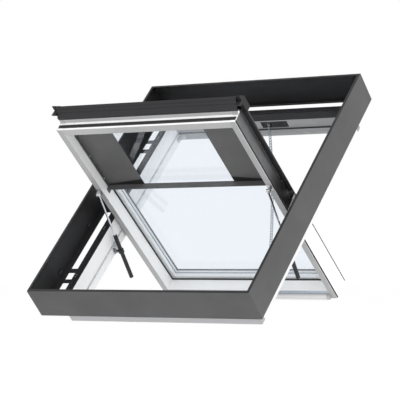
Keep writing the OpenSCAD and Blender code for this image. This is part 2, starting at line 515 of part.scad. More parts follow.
// round heel the flap turns on
heel_r = 2.2;
module vent_flap() {
  color(white) opened() {
    along_x(-gw2 + 12, gw2 - 12)
      polygon([[flap_s + heel_r, face_n - 1.5], [flap_s + heel_r + 0.6, face_n - 0.5], [sl2 - 1, face_n - 0.5], [sl2 - 1, face_n - 9], [sl2 - 4, face_n - 14], [sl2 - 9, face_n - 16],
        [flap_s + 12, face_n - 16], [flap_s + 12, face_n - 14.5], [flap_s + 10, face_n - 13], [flap_s + 9.25, face_n - 16], [flap_s + 8, face_n - 16], [flap_s + 2.5, face_n - 13.5],
        [flap_s, face_n - 8], [flap_s, face_n - 1.2 - heel_r], [flap_s + 1, face_n - 0.5 - heel_r]]);
    translate([-gw2 + 12, flap_s + heel_r, face_n - 0.5 - heel_r]) rotate([0, 90, 0]) cylinder(r = heel_r, h = 2 * gw2 - 24, $fn = 48);
  }
}
module flap_caps() {
  color(white) opened() for (m = [-1, 1]) along_x(m < 0 ? -gw2 + 1 : gw2 - 12, m < 0 ? -gw2 + 12 : gw2 - 1)
    union() {
      polygon([[flap_s + heel_r - 0.3, face_n - 0.8], [flap_s + heel_r + 0.3, face_n - 0.5], [sl2 - 1, face_n - 0.5], [sl2 - 1, face_n - 8], [sl2 - 4.5, face_n - 12.5], [sl2 - 9, face_n - 14.5], [flap_s + 8, face_n - 14.5], [flap_s + 3, face_n - 12.5], [flap_s, face_n - 7],
        [flap_s, face_n - 0.8 - heel_r], [flap_s + 0.3, face_n - 0.2 - heel_r]]);
      translate([flap_s + heel_r, face_n - 0.5 - heel_r]) circle(r = heel_r, $fn = 32);
    }
}
gu = 4;
module pane(n0) { box([-gw2 - gu, g_lo - gu, n0], [gw2 + gu, g_hi + gu, n0 + pane_t]); }
module pane_inner() { color([0.85, 0.92, 0.97, 0.35]) opened() pane(glass_n); }
module pane_outer() { color([0.85, 0.92, 0.97, 0.35]) opened() pane(glass_n + pane_t + pane_gap); }
module ring_of(n0, n1, a, b) {
  difference() {
    box([-gw2 - a, g_lo - a, n0], [gw2 + a, g_hi + a, n1]);
    box([-gw2 - b, g_lo - b, n0 - 1], [gw2 + b, g_hi + b, n1 + 1]);
  }
}
module pane_spacer() { color(alu) opened() ring_of(glass_n + pane_t, glass_n + pane_t + pane_gap, 0, -14); }
module pane_seal() { color(rubber) opened() {
  ring_of(glass_n + pane_t, glass_n + pane_t + pane_gap, 4, 0);
  ring_of(glass_n + pane_t, glass_n + pane_t + pane_gap, -14, -17);
} }
module glazing_gasket() { color(rubber) opened() ring_of(glass_n - 4.5, glass_n, 6, -4); }
module sash_gasket() {
  color(rubber) opened() {
    for (m = [-1, 1]) along_s(-sl2 + 1, sl2 - 1) polygon([[m * (sw2 - 3), face_n + 4], [m * (sw2 + 1), face_n + 4.5], [m * (sw2 + 1), face_n + 8.5], [m * (sw2 - 3), face_n + 9]]);
    along_x(-sw2 + 4.2, sw2 - 4.2) polygon([[-sl2 + 3, face_n + 10.5], [-sl2 - 2, face_n + 11.5], [-sl2 - 2, face_n + 17], [-sl2 + 1, face_n + 18], [-sl2 + 1, face_n + 20], [-sl2 - 2, face_n + 21], [-sl2 - 2, face_n + 27.5], [-sl2 + 3, face_n + 28]]);
  }
}
module cladding_shape(m) {
  // cap over the stile's outer edge, with a leg down its side on the lower half
  difference() {
    union() {
      box([min(m * (gw2 - 24), m * (sw2 + 2)), -sl2 + 1, ext_n - 2], [max(m * (gw2 - 24), m * (sw2 + 2)), sl2, ext_n + 1]);
      box([min(m * sw2, m * (sw2 + 2)), -sl2 + 1, face_n + 66], [max(m * sw2, m * (sw2 + 2)), pivot_s - 20, ext_n - 1]);
    }
    // clear of the pivot's boss
    translate([m * (sw2 - 1), pivot_s, pivot_n]) rotate([0, m * 90, 0]) cylinder(r = 13, h = 4, $fn = 64);
  }
}
module cladding_left() { color(dark) opened() cladding_shape(-1); }
module cladding_right() { color(dark) opened() cladding_shape(1); }
module cladding_top() {
  color(dark) opened() difference() {
    union() {
      box([-gw2 + 24.2, g_hi - 24, ext_n - 2], [gw2 - 24.2, sl2 + 2, ext_n + 1]);
      box([-gw2, sl2, ext_n - 16], [gw2, sl2 + 2, ext_n - 1]);
    }
    box([chain_x - 10, sl2 - 22, ext_n - 40], [chain_x + 10, sl2 + 3, ext_n + 3]);
  }
}
function wing_poly() = [[-sl2, face_n + 56], [-sl2 - 13, face_n + 56], [-sl2 - 13, face_n + 46], [-sl2 - 24, face_n + 45], [-sl2 - 27, face_n + 47], [-sl2 - 30, face_n + 50], [-sl2 - wing_reach, face_n + 74], [-sl2 - wing_reach, face_n + 76],
  [-sl2 - wing_reach + 10, face_n + 81], [-sl2 - wing_reach + 14, face_n + 90], [-sl2 - 30, ext_n + 1], [g_lo + 24, ext_n + 1], [g_lo + 24, ext_n - 2], [-sl2, ext_n - 2]];
module drip_wing() { color(dark) opened() difference() {
  along_x(-sw2 - 2.5, sw2 + 2.5) difference() {
    polygon(wing_poly());
    polygon([[-sl2 - 3, face_n + 59], [-sl2 - 16, face_n + 59], [-sl2 - 16, face_n + 48.5], [-sl2 - 23.5, face_n + 48], [-sl2 - 27.5, face_n + 53], [-sl2 - wing_reach + 5, face_n + 75.5], [-sl2 - wing_reach + 13, face_n + 79],
      [-sl2 - wing_reach + 17, face_n + 88.5], [-sl2 - 31, ext_n - 2], [-sl2 - 3, ext_n - 2]]);
  }
  for (m = [-1, 1]) box([min(m * (gw2 - 24.2), m * (sw2 + 4)), -sl2 + 0.8, ext_n - 3], [max(m * (gw2 - 24.2), m * (sw2 + 4)), g_lo + 26, ext_n + 3]);
} }
module wing_cap(m) {
  along_x(m < 0 ? -sw2 - 21 : sw2 + 2.5, m < 0 ? -sw2 - 2.5 : sw2 + 21)
    polygon([[-sl2 + 20, face_n + 70], [-sl2 - 28, face_n + 70], [-sl2 - 31, face_n + 54], [-sl2 - wing_reach + 18, face_n + 42], [-sl2 - wing_reach + 21, face_n + 73.5], [-sl2 - wing_reach - 3, face_n + 73.5],
      [-sl2 - wing_reach - 3, face_n + 77], [-sl2 - wing_reach + 8, face_n + 84], [-sl2 - wing_reach + 12, face_n + 91], [-sl2 - wing_reach + 25, ext_n + 3], [-sl2 + 20, ext_n + 3]]);
}
module wing_cap_left() { color(dark) opened() wing_cap(-1); }
module wing_cap_right() { color(dark) opened() wing_cap(1); }
module side_wings() {
  // drip edges beside the lower half of the sash
  color(dark) opened() for (m = [-1, 1]) along_s(-sl2 + 20.2, pivot_s - 64)
    polygon([[m * (sw2 + 2), face_n + 70], [m * (sw2 + 20), face_n + 69.5], [m * (sw2 + 21), face_n + 70.5], [m * (sw2 + 21), face_n + 74], [m * (sw2 + 12), face_n + 78], [m * (sw2 + 2), face_n + 90]]);
}

// ---------- screen ----------
module screen_plate(m) {
  difference() {
    union() {
      box([min(m * (gw2 - 0.2 - plate_w), m * (gw2 - 0.2)), g_lo + 0.5, glass_n - 8], [max(m * (gw2 - 0.2 - plate_w), m * (gw2 - 0.2)), g_lo + screen_l, glass_n - 5]);
      box([min(m * (gw2 - 3.2), m * (gw2 - 0.2)), g_lo + 0.5, glass_n - 20], [max(m * (gw2 - 3.2), m * (gw2 - 0.2)), g_lo + screen_l, glass_n - 5]);
    }
    for (q = [40, 180, 320]) translate([m * (gw2 - 5), g_lo + q, glass_n - 13]) rotate([0, m * 90, 0]) cylinder(r = 2, h = 7, $fn = 24);
  }
}
module screen_left() { color([0.33, 0.33, 0.34]) opened() screen_plate(-1); }
module screen_right() { color([0.33, 0.33, 0.34]) opened() screen_plate(1); }
module screen_bar() {
  color([0.33, 0.33, 0.34]) opened() {
    box([-gw2 + 0.2, g_lo + screen_l, glass_n - 5 - bar_h], [gw2 - 0.2, g_lo + screen_l + 3, glass_n - 5]);
    for (m = [-1, 1]) box([min(m * (gw2 - 3.2), m * (gw2 - 0.2)), g_lo + screen_l + 3 - e, glass_n - 5 - bar_h], [max(m * (gw2 - 3.2), m * (gw2 - 0.2)), g_lo + screen_l + 24, glass_n - 5]);
  }
}
module screen_screws() {
  color(steel) opened() for (m = [-1, 1]) for (q = [40, 180, 320])
    translate([m * (gw2 - 3.2), g_lo + q, glass_n - 13]) rotate([0, m * 90, 0]) { translate([0, 0, -1.8]) cylinder(r = 4, h = 1.8, $fn = 32); cylinder(r = 1.9, h = 2.9, $fn = 24); }
}

frame_bottom_member();
frame_top_member();
frame_side_left();
frame_side_right();
casing_top();
casing_left();
casing_right();
frame_gasket();
deflector_bottom();
deflector_top();
deflector_left();
deflector_right();
side_flange_left();
side_flange_right();
end_straps();
strap_screws();
strap_rivets();
corner_plates();
pivot_housing_left();
pivot_housing_right();
stay_brackets();
bracket_screws();
drive_housing();
drive_end_caps();
drive_nozzle();
push_chain();
frame_corner_angles();
sash_bottom_rail();
sash_top_rail();
sash_stile_left();
sash_stile_right();
pane_outer();
pane_inner();
pane_spacer();
pane_seal();
glazing_gasket();
sash_gasket();
cladding_left();
cladding_right();
cladding_top();
drip_wing();
wing_cap_left();
wing_cap_right();
side_wings();
pivot_pins();
screen_left();
screen_right();
screen_bar();
screen_screws();
rod_brackets();
chain_bracket();
vent_strip();
vent_flap();
flap_caps();
stay_collar_left();
stay_collar_right();
stay_tube_left();
stay_tube_right();
stay_rod_left();
stay_rod_right();
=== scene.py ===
"""Finishes and fine pieces of a centre-pivot roof window with a wind deflector.

The window stands open in its frame. Each class below is one sub-assembly: it
holds its own sizes in millimetres, builds its meshes in the window's plane
(x across, s up the slope, n outward) and dresses them in its finishes.
"""
from __future__ import annotations

import logging
import math
from dataclasses import dataclass
from enum import Enum
from typing import Callable, ClassVar, Sequence

import bmesh
import bpy
from bmesh.types import BMesh, BMVert
from bpy.types import ID, Material, Mesh, MeshPolygon, Object
from bpy.types import Node, NodeSocket, NodeTree
from mathutils import Matrix, Vector


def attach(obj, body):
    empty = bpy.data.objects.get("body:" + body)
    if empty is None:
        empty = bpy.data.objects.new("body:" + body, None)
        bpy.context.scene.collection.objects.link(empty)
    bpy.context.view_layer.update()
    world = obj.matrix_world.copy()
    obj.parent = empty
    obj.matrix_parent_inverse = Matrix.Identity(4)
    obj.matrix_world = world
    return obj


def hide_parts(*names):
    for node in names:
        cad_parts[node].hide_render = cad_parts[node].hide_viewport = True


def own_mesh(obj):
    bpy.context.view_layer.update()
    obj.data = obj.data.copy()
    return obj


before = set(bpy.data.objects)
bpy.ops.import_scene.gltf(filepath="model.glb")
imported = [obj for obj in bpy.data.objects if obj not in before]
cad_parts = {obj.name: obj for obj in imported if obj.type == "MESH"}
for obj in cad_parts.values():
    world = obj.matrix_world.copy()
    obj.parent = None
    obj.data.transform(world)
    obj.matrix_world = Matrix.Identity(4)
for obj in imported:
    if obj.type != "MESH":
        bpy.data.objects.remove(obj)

Point2 = tuple[float, float]
Point3 = tuple[float, float, float]
Colour = tuple[float, float, float]
Line = tuple[Point3, Point3]
Seat = tuple[Point3, Point3]
Ring = tuple[float, float, float]

LOG = logging.getLogger("roof_window")
MM = 0.001
SIDES = (-1, 1)
OUTWARD: Point3 = (0.0, 0.0, 1.0)
# Shares of a face's normal past which it faces a direction, or squarely does.
FACING = 0.5
SQUARE_ON = 0.9
# Longest share of a leg that a bend takes up, and points round it.
BEND_ROOM = 0.45
BEND_STEPS = 5
# Faces round a turned fixing, and lobes of a screw's recess.
TURNED_FACES = 36
LOBES = 6
# Welding distance in metres, and angles in degrees for flat, smooth and eased.
WELD = 2e-6
FLAT_ANGLE = 0.4
SMOOTH_ANGLE = 32.0
EASED_ANGLE = 35.0


class Body(Enum):
    """Rigid bodies of the window."""

    FRAME = "frame"
    SASH = "sash"
    FLAP = "vent_flap"


class Run(Enum):
    """Direction a profile is drawn out along."""

    ACROSS = "x"
    SLOPE = "s"


class Edge(Enum):
    """Widths of eased edges in millimetres."""

    NONE = 0.0
    PLATE = 0.2
    SHEET = 0.3
    PANEL = 0.35
    COVER = 0.4
    SOFT = 0.5
    MEMBER = 0.6
    CAP = 1.0
    MOULDING = 1.2
    HOUSING = 1.5


# ---------------------------------------------------------------- places


@dataclass(frozen=True)
class WindowPlace:
    """Where the window's plane lies in the row frame, and how far it is open.

    Args:
        pitch: Roof slope in degrees.
        seat_s: Distance from the window's middle to the origin along the slope.
        seat_n: Height of the window's zero level above the seat.
        pivot: Pivot axis as (s, n).
        opening: Opening angle of the sash in degrees.
    """

    pitch: float = 45.0
    seat_s: float = 575.5
    seat_n: float = 100.0
    pivot: Point2 = (-1.0, 37.5)
    opening: float = 85.0

    def fixed(self) -> Matrix:
        """Returns the matrix from plane millimetres to row metres."""
        turn = Matrix.Rotation(math.radians(self.pitch), 4, "X")
        return (
            Matrix.Scale(MM, 4)
            @ turn
            @ Matrix.Translation((0.0, self.seat_s, self.seat_n))
        )

    def open(self) -> Matrix:
        """Returns the same matrix for pieces of the opened sash."""
        s, n = self.pivot
        swing = Matrix.Rotation(math.radians(-self.opening), 4, "X")
        return (
            self.fixed()
            @ Matrix.Translation((0.0, s, n))
            @ swing
            @ Matrix.Translation((0.0, -s, -n))
        )

    def of(self, body: Body) -> Matrix:
        """Returns the matrix for a body."""
        return self.fixed() if body is Body.FRAME else self.open()


PLACE = WindowPlace()


# ---------------------------------------------------------------- finishes


class Desk:
    """Small helper that lays out the nodes of a tree."""

    tree: NodeTree

    def node(self, kind: str, **values: object) -> Node:
        """Adds a node and sets its plain properties and input defaults.

        Args:
            kind: Node type name.
            values: Properties, or inputs by name with blanks as underscores.

        Returns:
            The new node.
        """
        made = self.tree.nodes.new(kind)
        for key, value in values.items():
            if hasattr(made, key):
                setattr(made, key, value)
            else:
                made.inputs[key.replace("_", " ")].default_value = value
        return made

    def link(self, source: NodeSocket, target: NodeSocket) -> None:
        """Joins two sockets."""
        self.tree.links.new(source, target)

    def wire(self, source: Node, out: str, target: Node, into: str) -> None:
        """Joins a node's named output to another node's named input."""
        self.link(source.outputs[out], target.inputs[into])


class NodeDesk(Desk):
    """Desk for a material with one main shader.

    Args:
        name: Name of the new material.
    """

    NOISE_SPAN: Point2 = (0.3, 0.7)
    BLEND_SPAN: Point2 = (0.35, 0.65)

    def __init__(self, name: str) -> None:
        """Makes the material with its output."""
        self.material = bpy.data.materials.new(name)
        self.material.use_nodes = True
        self.tree = self.material.node_tree
        self.tree.nodes.clear()
        self.output = self.node("ShaderNodeOutputMaterial")

    def place(self, scale: Point3 = (1.0, 1.0, 1.0)) -> NodeSocket:
        """Returns object coordinates, scaled along each axis.

        Args:
            scale: Scale of the pattern along X, Y and Z.

        Returns:
            The vector socket.
        """
        coords = self.node("ShaderNodeTexCoord")
        mapping = self.node("ShaderNodeMapping", Scale=scale)
        self.wire(coords, "Object", mapping, "Vector")
        return mapping.outputs["Vector"]

    def noise(
        self,
        where: NodeSocket,
        scale: float,
        detail: float = 3.0,
        rough: float = 0.5,
    ) -> NodeSocket:
        """Returns a noise value.

        Args:
            where: Vector socket.
            scale: Cells per metre.
            detail: Octaves.
            rough: Roughness of the octaves.

        Returns:
            The factor socket.
        """
        made = self.node(
            "ShaderNodeTexNoise", Scale=scale, Detail=detail, Roughness=rough
        )
        self.link(where, made.inputs["Vector"])
        return made.outputs["Fac"]

    def bump(
        self,
        height: NodeSocket,
        strength: float,
        depth: float,
        under: NodeSocket | None = None,
    ) -> NodeSocket:
        """Turns a height into a normal.

        Args:
            height: Height socket.
            strength: Share of the effect.
            depth: Depth of the relief in metres.
            under: Normal that this relief lies on.

        Returns:
            The normal socket.
        """
        made = self.node("ShaderNodeBump", Strength=strength, Distance=depth)
        self.link(height, made.inputs["Height"])
        if under is not None:
            self.link(under, made.inputs["Normal"])
        return made.outputs["Normal"]

    def shader(self, **values: object) -> None:
        """Adds the main shader, joined to the output."""
        self.main = self.node("ShaderNodeBsdfPrincipled", **values)
        self.wire(self.main, "BSDF", self.output, "Surface")

    def tint(
        self, colour: Colour, value: NodeSocket, low: float, high: float
    ) -> None:
        """Varies the main shader's colour by a noise.

        Args:
            colour: The middle colour.
            value: Noise socket.
            low: Share of the colour at the noise's low end.
            high: Share at its high end.
        """
        made = self.node("ShaderNodeValToRGB")
        stops = zip(made.color_ramp.elements, self.BLEND_SPAN, (low, high))
        for stop, spot, factor in stops:
            stop.position = spot
            stop.color = (*(min(1.0, part * factor) for part in colour), 1.0)
        self.link(value, made.inputs["Fac"])
        self.wire(made, "Color", self.main, "Base Color")

    def wear(
        self, rough: float, value: NodeSocket, less: float, more: float
    ) -> None:
        """Varies the main shader's roughness by a noise.

        Args:
            rough: The middle roughness.
            value: Noise socket.
            less: How much smoother it gets.
            more: How much rougher it gets.
        """
        made = self.node("ShaderNodeMapRange")
        span = (*self.NOISE_SPAN, rough - less, rough + more)
        for index, number in enumerate(span, start=1):
            made.inputs[index].default_value = number
        self.link(value, made.inputs[0])
        self.link(made.outputs[0], self.main.inputs["Roughness"])

    def relief(self, normal: NodeSocket) -> None:
        """Lays a relief on the main shader."""
        self.link(normal, self.main.inputs["Normal"])


@dataclass(frozen=True)
class Finish:
    """A surface finish, made into one material on first use.

    Args:
        name: Name of the finish.
        colour: Linear base colour.
        rough: Roughness.
    """

    name: str
    colour: Colour
    rough: float = 0.5

    def material(self) -> Material:
        """Returns the material, building it the first time."""
        found = bpy.data.materials.get(self.name)
        if found is not None:
            return found
        desk = NodeDesk(self.name)
        self.lay(desk)
        LOG.info("finish %s", self.name)
        return desk.material

    def lay(self, desk: NodeDesk) -> None:
        """Lays the nodes of the finish; each kind has its own."""
        raise NotImplementedError


@dataclass(frozen=True)
class PowderCoat(Finish):
    """Baked powder coat: fine orange peel and slight cloudiness.

    Args:
        peel: Cells of the orange peel per metre.
        relief: Depth of the peel in metres.
        cloud: Colour change of the clouds.
    """

    peel: float = 520.0
    relief: float = 0.00012
    cloud: float = 0.10

    def lay(self, desk: NodeDesk) -> None:
        """Lays the coat's nodes.

        Args:
            desk: Desk of its material.
        """
        where = desk.place()
        clouds = desk.noise(where, scale=5.0, detail=4.0, rough=0.6)
        grain = desk.noise(where, self.peel, detail=2.0, rough=0.55)
        fleck = desk.noise(where, self.peel * 2.7, detail=1.0)
        desk.shader(Specular_IOR_Level=0.28)
        desk.tint(self.colour, clouds, 1.0 - self.cloud, 1.0 + self.cloud)
        desk.wear(self.rough, fleck, less=0.06, more=0.06)
        peel = desk.bump(grain, strength=0.55, depth=self.relief)
        desk.relief(desk.bump(clouds, strength=0.10, depth=0.002, under=peel))


@dataclass(frozen=True)
class Lacquer(Finish):
    """White lacquer over a moulded core, with a soft levelled surface.

    Args:
        coat: Weight of the clear coat.
    """

    coat: float = 0.25

    def lay(self, desk: NodeDesk) -> None:
        """Lays the lacquer's nodes.

        Args:
            desk: Desk of its material.
        """
        where = desk.place()
        wave = desk.noise(where, scale=9.0, detail=3.0, rough=0.55)
        fine = desk.noise(where, scale=420.0, detail=2.0)
        desk.shader(
            Coat_Weight=self.coat, Coat_Roughness=0.18, Specular_IOR_Level=0.4
        )
        desk.tint(self.colour, wave, 0.975, 1.0)
        desk.wear(self.rough, fine, less=0.05, more=0.05)
        level = desk.bump(fine, strength=0.25, depth=0.00008)
        desk.relief(desk.bump(wave, strength=0.05, depth=0.003, under=level))


@dataclass(frozen=True)
class Moulding(Finish):
    """Spark-eroded moulded plastic.

    Args:
        grain: Cells of the grain per metre.
    """

    grain: float = 900.0

    def lay(self, desk: NodeDesk) -> None:
        """Lays the moulding's nodes.

        Args:
            desk: Desk of its material.
        """
        where = desk.place()
        cells = desk.node("ShaderNodeTexVoronoi", Scale=self.grain)
        desk.link(where, cells.inputs["Vector"])
        soft = desk.noise(where, scale=14.0, detail=3.0)
        desk.shader(Specular_IOR_Level=0.25)
        desk.tint(self.colour, soft, 0.88, 1.1)
        desk.wear(self.rough, soft, less=0.05, more=0.07)
        pits = cells.outputs["Distance"]
        desk.relief(desk.bump(pits, strength=0.35, depth=0.0001))


@dataclass(frozen=True)
class Rubber(Finish):
    """Extruded sealing rubber with faint bloom."""

    def lay(self, desk: NodeDesk) -> None:
        """Lays the rubber's nodes.

        Args:
            desk: Desk of its material.
        """
        where = desk.place()
        bloom = desk.noise(where, scale=30.0, detail=4.0, rough=0.7)
        fine = desk.noise(where, scale=1400.0, detail=2.0)
        desk.shader(Sheen_Weight=0.12, Specular_IOR_Level=0.35)
        desk.tint(self.colour, bloom, 1.0, 1.6)
        desk.wear(self.rough, bloom, less=0.08, more=0.08)
        desk.relief(desk.bump(fine, strength=0.4, depth=0.00006))


@dataclass(frozen=True)
class WorkedMetal(Finish):
    """Bare metal with drawing marks along one axis.

    Args:
        marks: Stretch of the marks; the small number is their direction.
        depth: Depth of the marks in metres.
    """

    marks: Point3 = (1.0, 1.0, 0.04)
    depth: float = 0.00005

    def lay(self, desk: NodeDesk) -> None:
        """Lays the metal's nodes.

        Args:
            desk: Desk of its material.
        """
        lines = desk.noise(desk.place(self.marks), scale=1500.0, detail=3.0, rough=0.7)
        spots = desk.noise(desk.place(), scale=40.0, detail=4.0, rough=0.65)
        desk.shader(Metallic=1.0)
        desk.tint(self.colour, spots, 0.86, 1.0)
        desk.wear(self.rough, lines, less=0.07, more=0.07)
        desk.relief(desk.bump(lines, strength=0.3, depth=self.depth))


@dataclass(frozen=True)
class PaneGlass(Finish):
    """Clear coated glass: tinted passage with a mirror-like skin.

    Args:
        gloss: Share of reflection facing the glass.
        rise: Power of its rise towards a glancing view.
        glance: Share that it rises by.
        skin: Colour of the reflection.
    """

    gloss: float = 0.03
    rise: float = 4.0
    glance: float = 0.6
    skin: Colour = (0.96, 0.98, 1.0)

    def lay(self, desk: NodeDesk) -> None:
        """Lays the glass's nodes.

        Args:
            desk: Desk of its material.
        """
        clear = desk.node("ShaderNodeBsdfTransparent", Color=(*self.colour, 1.0))
        mirror = desk.node(
            "ShaderNodeBsdfGlossy", Color=(*self.skin, 1.0), Roughness=self.rough
        )
        weight = desk.node("ShaderNodeLayerWeight", Blend=0.5)
        ripple = desk.noise(desk.place(), scale=3.0, detail=2.0)
        normal = desk.bump(ripple, strength=0.03, depth=0.001)
        desk.link(normal, mirror.inputs["Normal"])
        rise = desk.node("ShaderNodeMath", operation="POWER")
        rise.inputs[1].default_value = self.rise
        desk.link(weight.outputs["Facing"], rise.inputs[0])
        share = desk.node("ShaderNodeMath", operation="MULTIPLY_ADD")
        share.inputs[1].default_value = self.glance
        share.inputs[2].default_value = self.gloss
        desk.link(rise.outputs[0], share.inputs[0])
        mix = desk.node("ShaderNodeMixShader")
        desk.link(share.outputs[0], mix.inputs["Fac"])
        desk.link(clear.outputs["BSDF"], mix.inputs[1])
        desk.link(mirror.outputs["BSDF"], mix.inputs[2])
        desk.wire(mix, "Shader", desk.output, "Surface")


@dataclass(frozen=True)
class StageFloor(Finish):
    """Plain matt studio floor."""

    def lay(self, desk: NodeDesk) -> None:
        """Lays the floor's nodes."""
        desk.shader(Roughness=self.rough, Specular_IOR_Level=0.1)
        soft = desk.noise(desk.place(), scale=0.8, detail=2.0)
        desk.tint(self.colour, soft, 0.995, 1.0)


FRAME_WHITE = Lacquer("frame_lacquer_white", (0.92, 0.92, 0.92), 0.42)
# Grey copy of the frame's white lacquer: painted shade on the bottom member.
BOTTOM_MEMBER_SHADE = Lacquer("bottom_member_lacquer", (0.42, 0.42, 0.43), 0.42)
SASH_WHITE = Lacquer("sash_lacquer_white", (0.96, 0.96, 0.96), 0.32, 0.35)
# Grey copies of the sash's white lacquer: painted shade on the inward faces of the
# rails and stiles.
RAIL_FACE_SHADE = Lacquer("rail_face_lacquer", (0.44, 0.44, 0.445), 0.34, 0.25)
STILE_FACE_SHADE = Lacquer("stile_face_lacquer", (0.38, 0.38, 0.385), 0.34, 0.25)
# Grey copy of the frame's white lacquer: painted shade on the top member.
TOP_MEMBER_SHADE = Lacquer("top_member_lacquer", (0.35, 0.35, 0.355), 0.42)
# Grey metals on the sash's sides: painted shade standing for the white stile's side in
# shadow.
COVER_SHADE_METAL = WorkedMetal("side_cover", (0.20, 0.20, 0.205), 0.42, (1.0, 0.04, 0.04))
LEG_SHADE_METAL = WorkedMetal("cladding_leg", (0.10, 0.10, 0.103), 0.42, (1.0, 0.04, 0.04))
# The white flap and its caps are greyed all over: painted shade.
FLAP_SHADED_WHITE = Lacquer("flap_lacquer_white", (0.70, 0.70, 0.70), 0.30, 0.45)
CAP_SHADED_WHITE = Lacquer("flap_cap_white", (0.45, 0.45, 0.46), 0.40, 0.2)
RING_OUTER = PowderCoat("deflector_coat", (0.080, 0.080, 0.082), 0.46)
# Darker copy of the deflector coat: painted shade on the ring's inner faces, flanges
# and straps.
RING_SHADE = PowderCoat("deflector_inner_coat", (0.020, 0.020, 0.0215), 0.50)
# Dark coat of the corner plates, also used for the painted shadow strips on the
# screens.
DARK_PLATE_AND_SHADOW = PowderCoat("corner_plate_coat", (0.013, 0.013, 0.014), 0.5)
CASING_DARK = PowderCoat("casing_coat", (0.017, 0.017, 0.019), 0.42)
CLADDING_DARK = PowderCoat("cladding_coat", (0.022, 0.022, 0.024), 0.45)
SCREEN_GREY = PowderCoat("screen_coat", (0.098, 0.098, 0.100), 0.48)
DRIVE_DARK = PowderCoat("drive_coat", (0.028, 0.028, 0.030), 0.38)
STAY_BLACK = PowderCoat("stay_coat", (0.022, 0.022, 0.024), 0.30, relief=0.00005)
PIVOT_BLACK = Moulding("pivot_moulding", (0.020, 0.020, 0.021), 0.48)
WING_BLACK = Moulding("wing_moulding", (0.018, 0.018, 0.019), 0.50)
GASKET = Rubber("gasket_rubber", (0.010, 0.010, 0.011), 0.62)
ZINC = WorkedMetal("zinc_plate", (0.62, 0.63, 0.64), 0.34)
CHAIN_METAL = WorkedMetal("chain_links", (0.50, 0.53, 0.58), 0.28)
ROD_CHROME = WorkedMetal("ground_rod", (0.72, 0.73, 0.75), 0.16, depth=0.00002)
SPACER_METAL = PowderCoat("spacer_satin", (0.97, 0.97, 0.965), 0.5, cloud=0.01)
SEAL_PALE = PowderCoat("pane_seal_pale", (0.94, 0.94, 0.94), 0.6, cloud=0.01)
SEAL_LIGHT = Rubber("side_seal_light", (0.40, 0.40, 0.41), 0.6)
FILTER = Moulding("filter_strip", (0.40, 0.47, 0.58), 0.70, 1300.0)
GLASS = PaneGlass("pane_clear", (0.960, 0.972, 0.985), 0.012)
FLOOR = StageFloor("studio_floor", (1.0, 1.0, 1.0), 1.0)


# ---------------------------------------------------------------- pieces


def clean_copy(node: str) -> Mesh:
    """Copies a construction node's mesh, joined up and with flat faces merged.

    Args:
        node: Name of the node.

    Returns:
        A new mesh with sharp edges marked.
    """
    bm = bmesh.new()
    bm.from_mesh(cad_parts[node].data)
    bmesh.ops.remove_doubles(bm, verts=bm.verts, dist=WELD)
    bmesh.ops.dissolve_limit(
        bm, angle_limit=math.radians(FLAT_ANGLE), verts=bm.verts, edges=bm.edges
    )
    for face in bm.faces:
        face.material_index = 0
    return closed(bm, node + "_finished")


def closed(bm: BMesh, name: str) -> Mesh:
    """Ends a mesh in the making, with its sharp edges marked.

    Args:
        bm: The mesh in the making, freed afterwards.
        name: Name of the new mesh.

    Returns:
        The mesh.
    """
    sharpen(bm)
    mesh = bpy.data.meshes.new(name)
    bm.to_mesh(mesh)
    bm.free()
    return mesh


def sharpen(bm: BMesh) -> None:
    """Smooths the faces and marks the edges that stay sharp.

    Args:
        bm: The mesh in the making.
    """
    edge_limit = math.radians(SMOOTH_ANGLE)
    for face in bm.faces:
        face.smooth = True
    for edge in bm.edges:
        edge.smooth = len(edge.link_faces) == 2 and edge.calc_face_angle() < edge_limit


def ease_edges(piece: Object, edge: Edge) -> None:
    """Rounds the sharp edges of a piece and applies the result.

    Args:
        piece: The piece.
        edge: Width of the rounding.
    """
    bevel = piece.modifiers.new("eased", "BEVEL")
    bevel.width = edge.value * MM
    bevel.segments = 2
    bevel.limit_method = "ANGLE"
    bevel.angle_limit = math.radians(EASED_ANGLE)
    bevel.use_clamp_overlap = True
    bevel.harden_normals = True
    graph = bpy.context.evaluated_depsgraph_get()
    mesh = bpy.data.meshes.new_from_object(piece.evaluated_get(graph))
    mesh.name = piece.name
    piece.modifiers.clear()
    piece.data = mesh


def add_piece(
    name: str,
    mesh: Mesh,
    finishes: Sequence[Finish],
    body: str,
    slot: str,
    stands_for: Sequence[str] = (),
    edge: Edge = Edge.NONE,
) -> Object:
    """Makes a finished piece of a mesh in row metres.

    Args:
        name: Name of the piece.
        mesh: Its mesh.
        finishes: Its finishes, in the order of its faces' material numbers.
        body: The rigid body it moves with.
        slot: Material slot of the record; not used.
        stands_for: Construction nodes it is shown in place of.
        edge: Width of the eased edges.

    Returns:
        The piece.
    """
    piece = bpy.data.objects.new(name, mesh)
    bpy.context.scene.collection.objects.link(piece)
    for finish in finishes:
        mesh.materials.append(finish.material())
    if edge is not Edge.NONE:
        ease_edges(piece, edge)
    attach(piece, body)
    if stands_for:
        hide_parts(*stands_for)
    LOG.info("piece %s: %d faces on %s", name, len(piece.data.polygons), body)
    return piece


@dataclass(frozen=True)
class Coat:
    """One finish on a group of construction nodes.

    Args:
        nodes: The construction nodes.
        finish: Their finish.
        slot: Material slot of the record.
        edge: Width of the eased edges.
    """

    nodes: tuple[str, ...]
    finish: Finish
    slot: str
    edge: Edge = Edge.SHEET

    def lay(self, body: str) -> None:
        """Shows each node as a clean copy with this finish and eased edges.

        Args:
            body: The rigid body they move with.
        """
        for node in self.nodes:
            add_piece(
                node + "_finished",
                clean_copy(node),
                [self.finish],
                body,
                self.slot,
                [node],
                self.edge,
            )


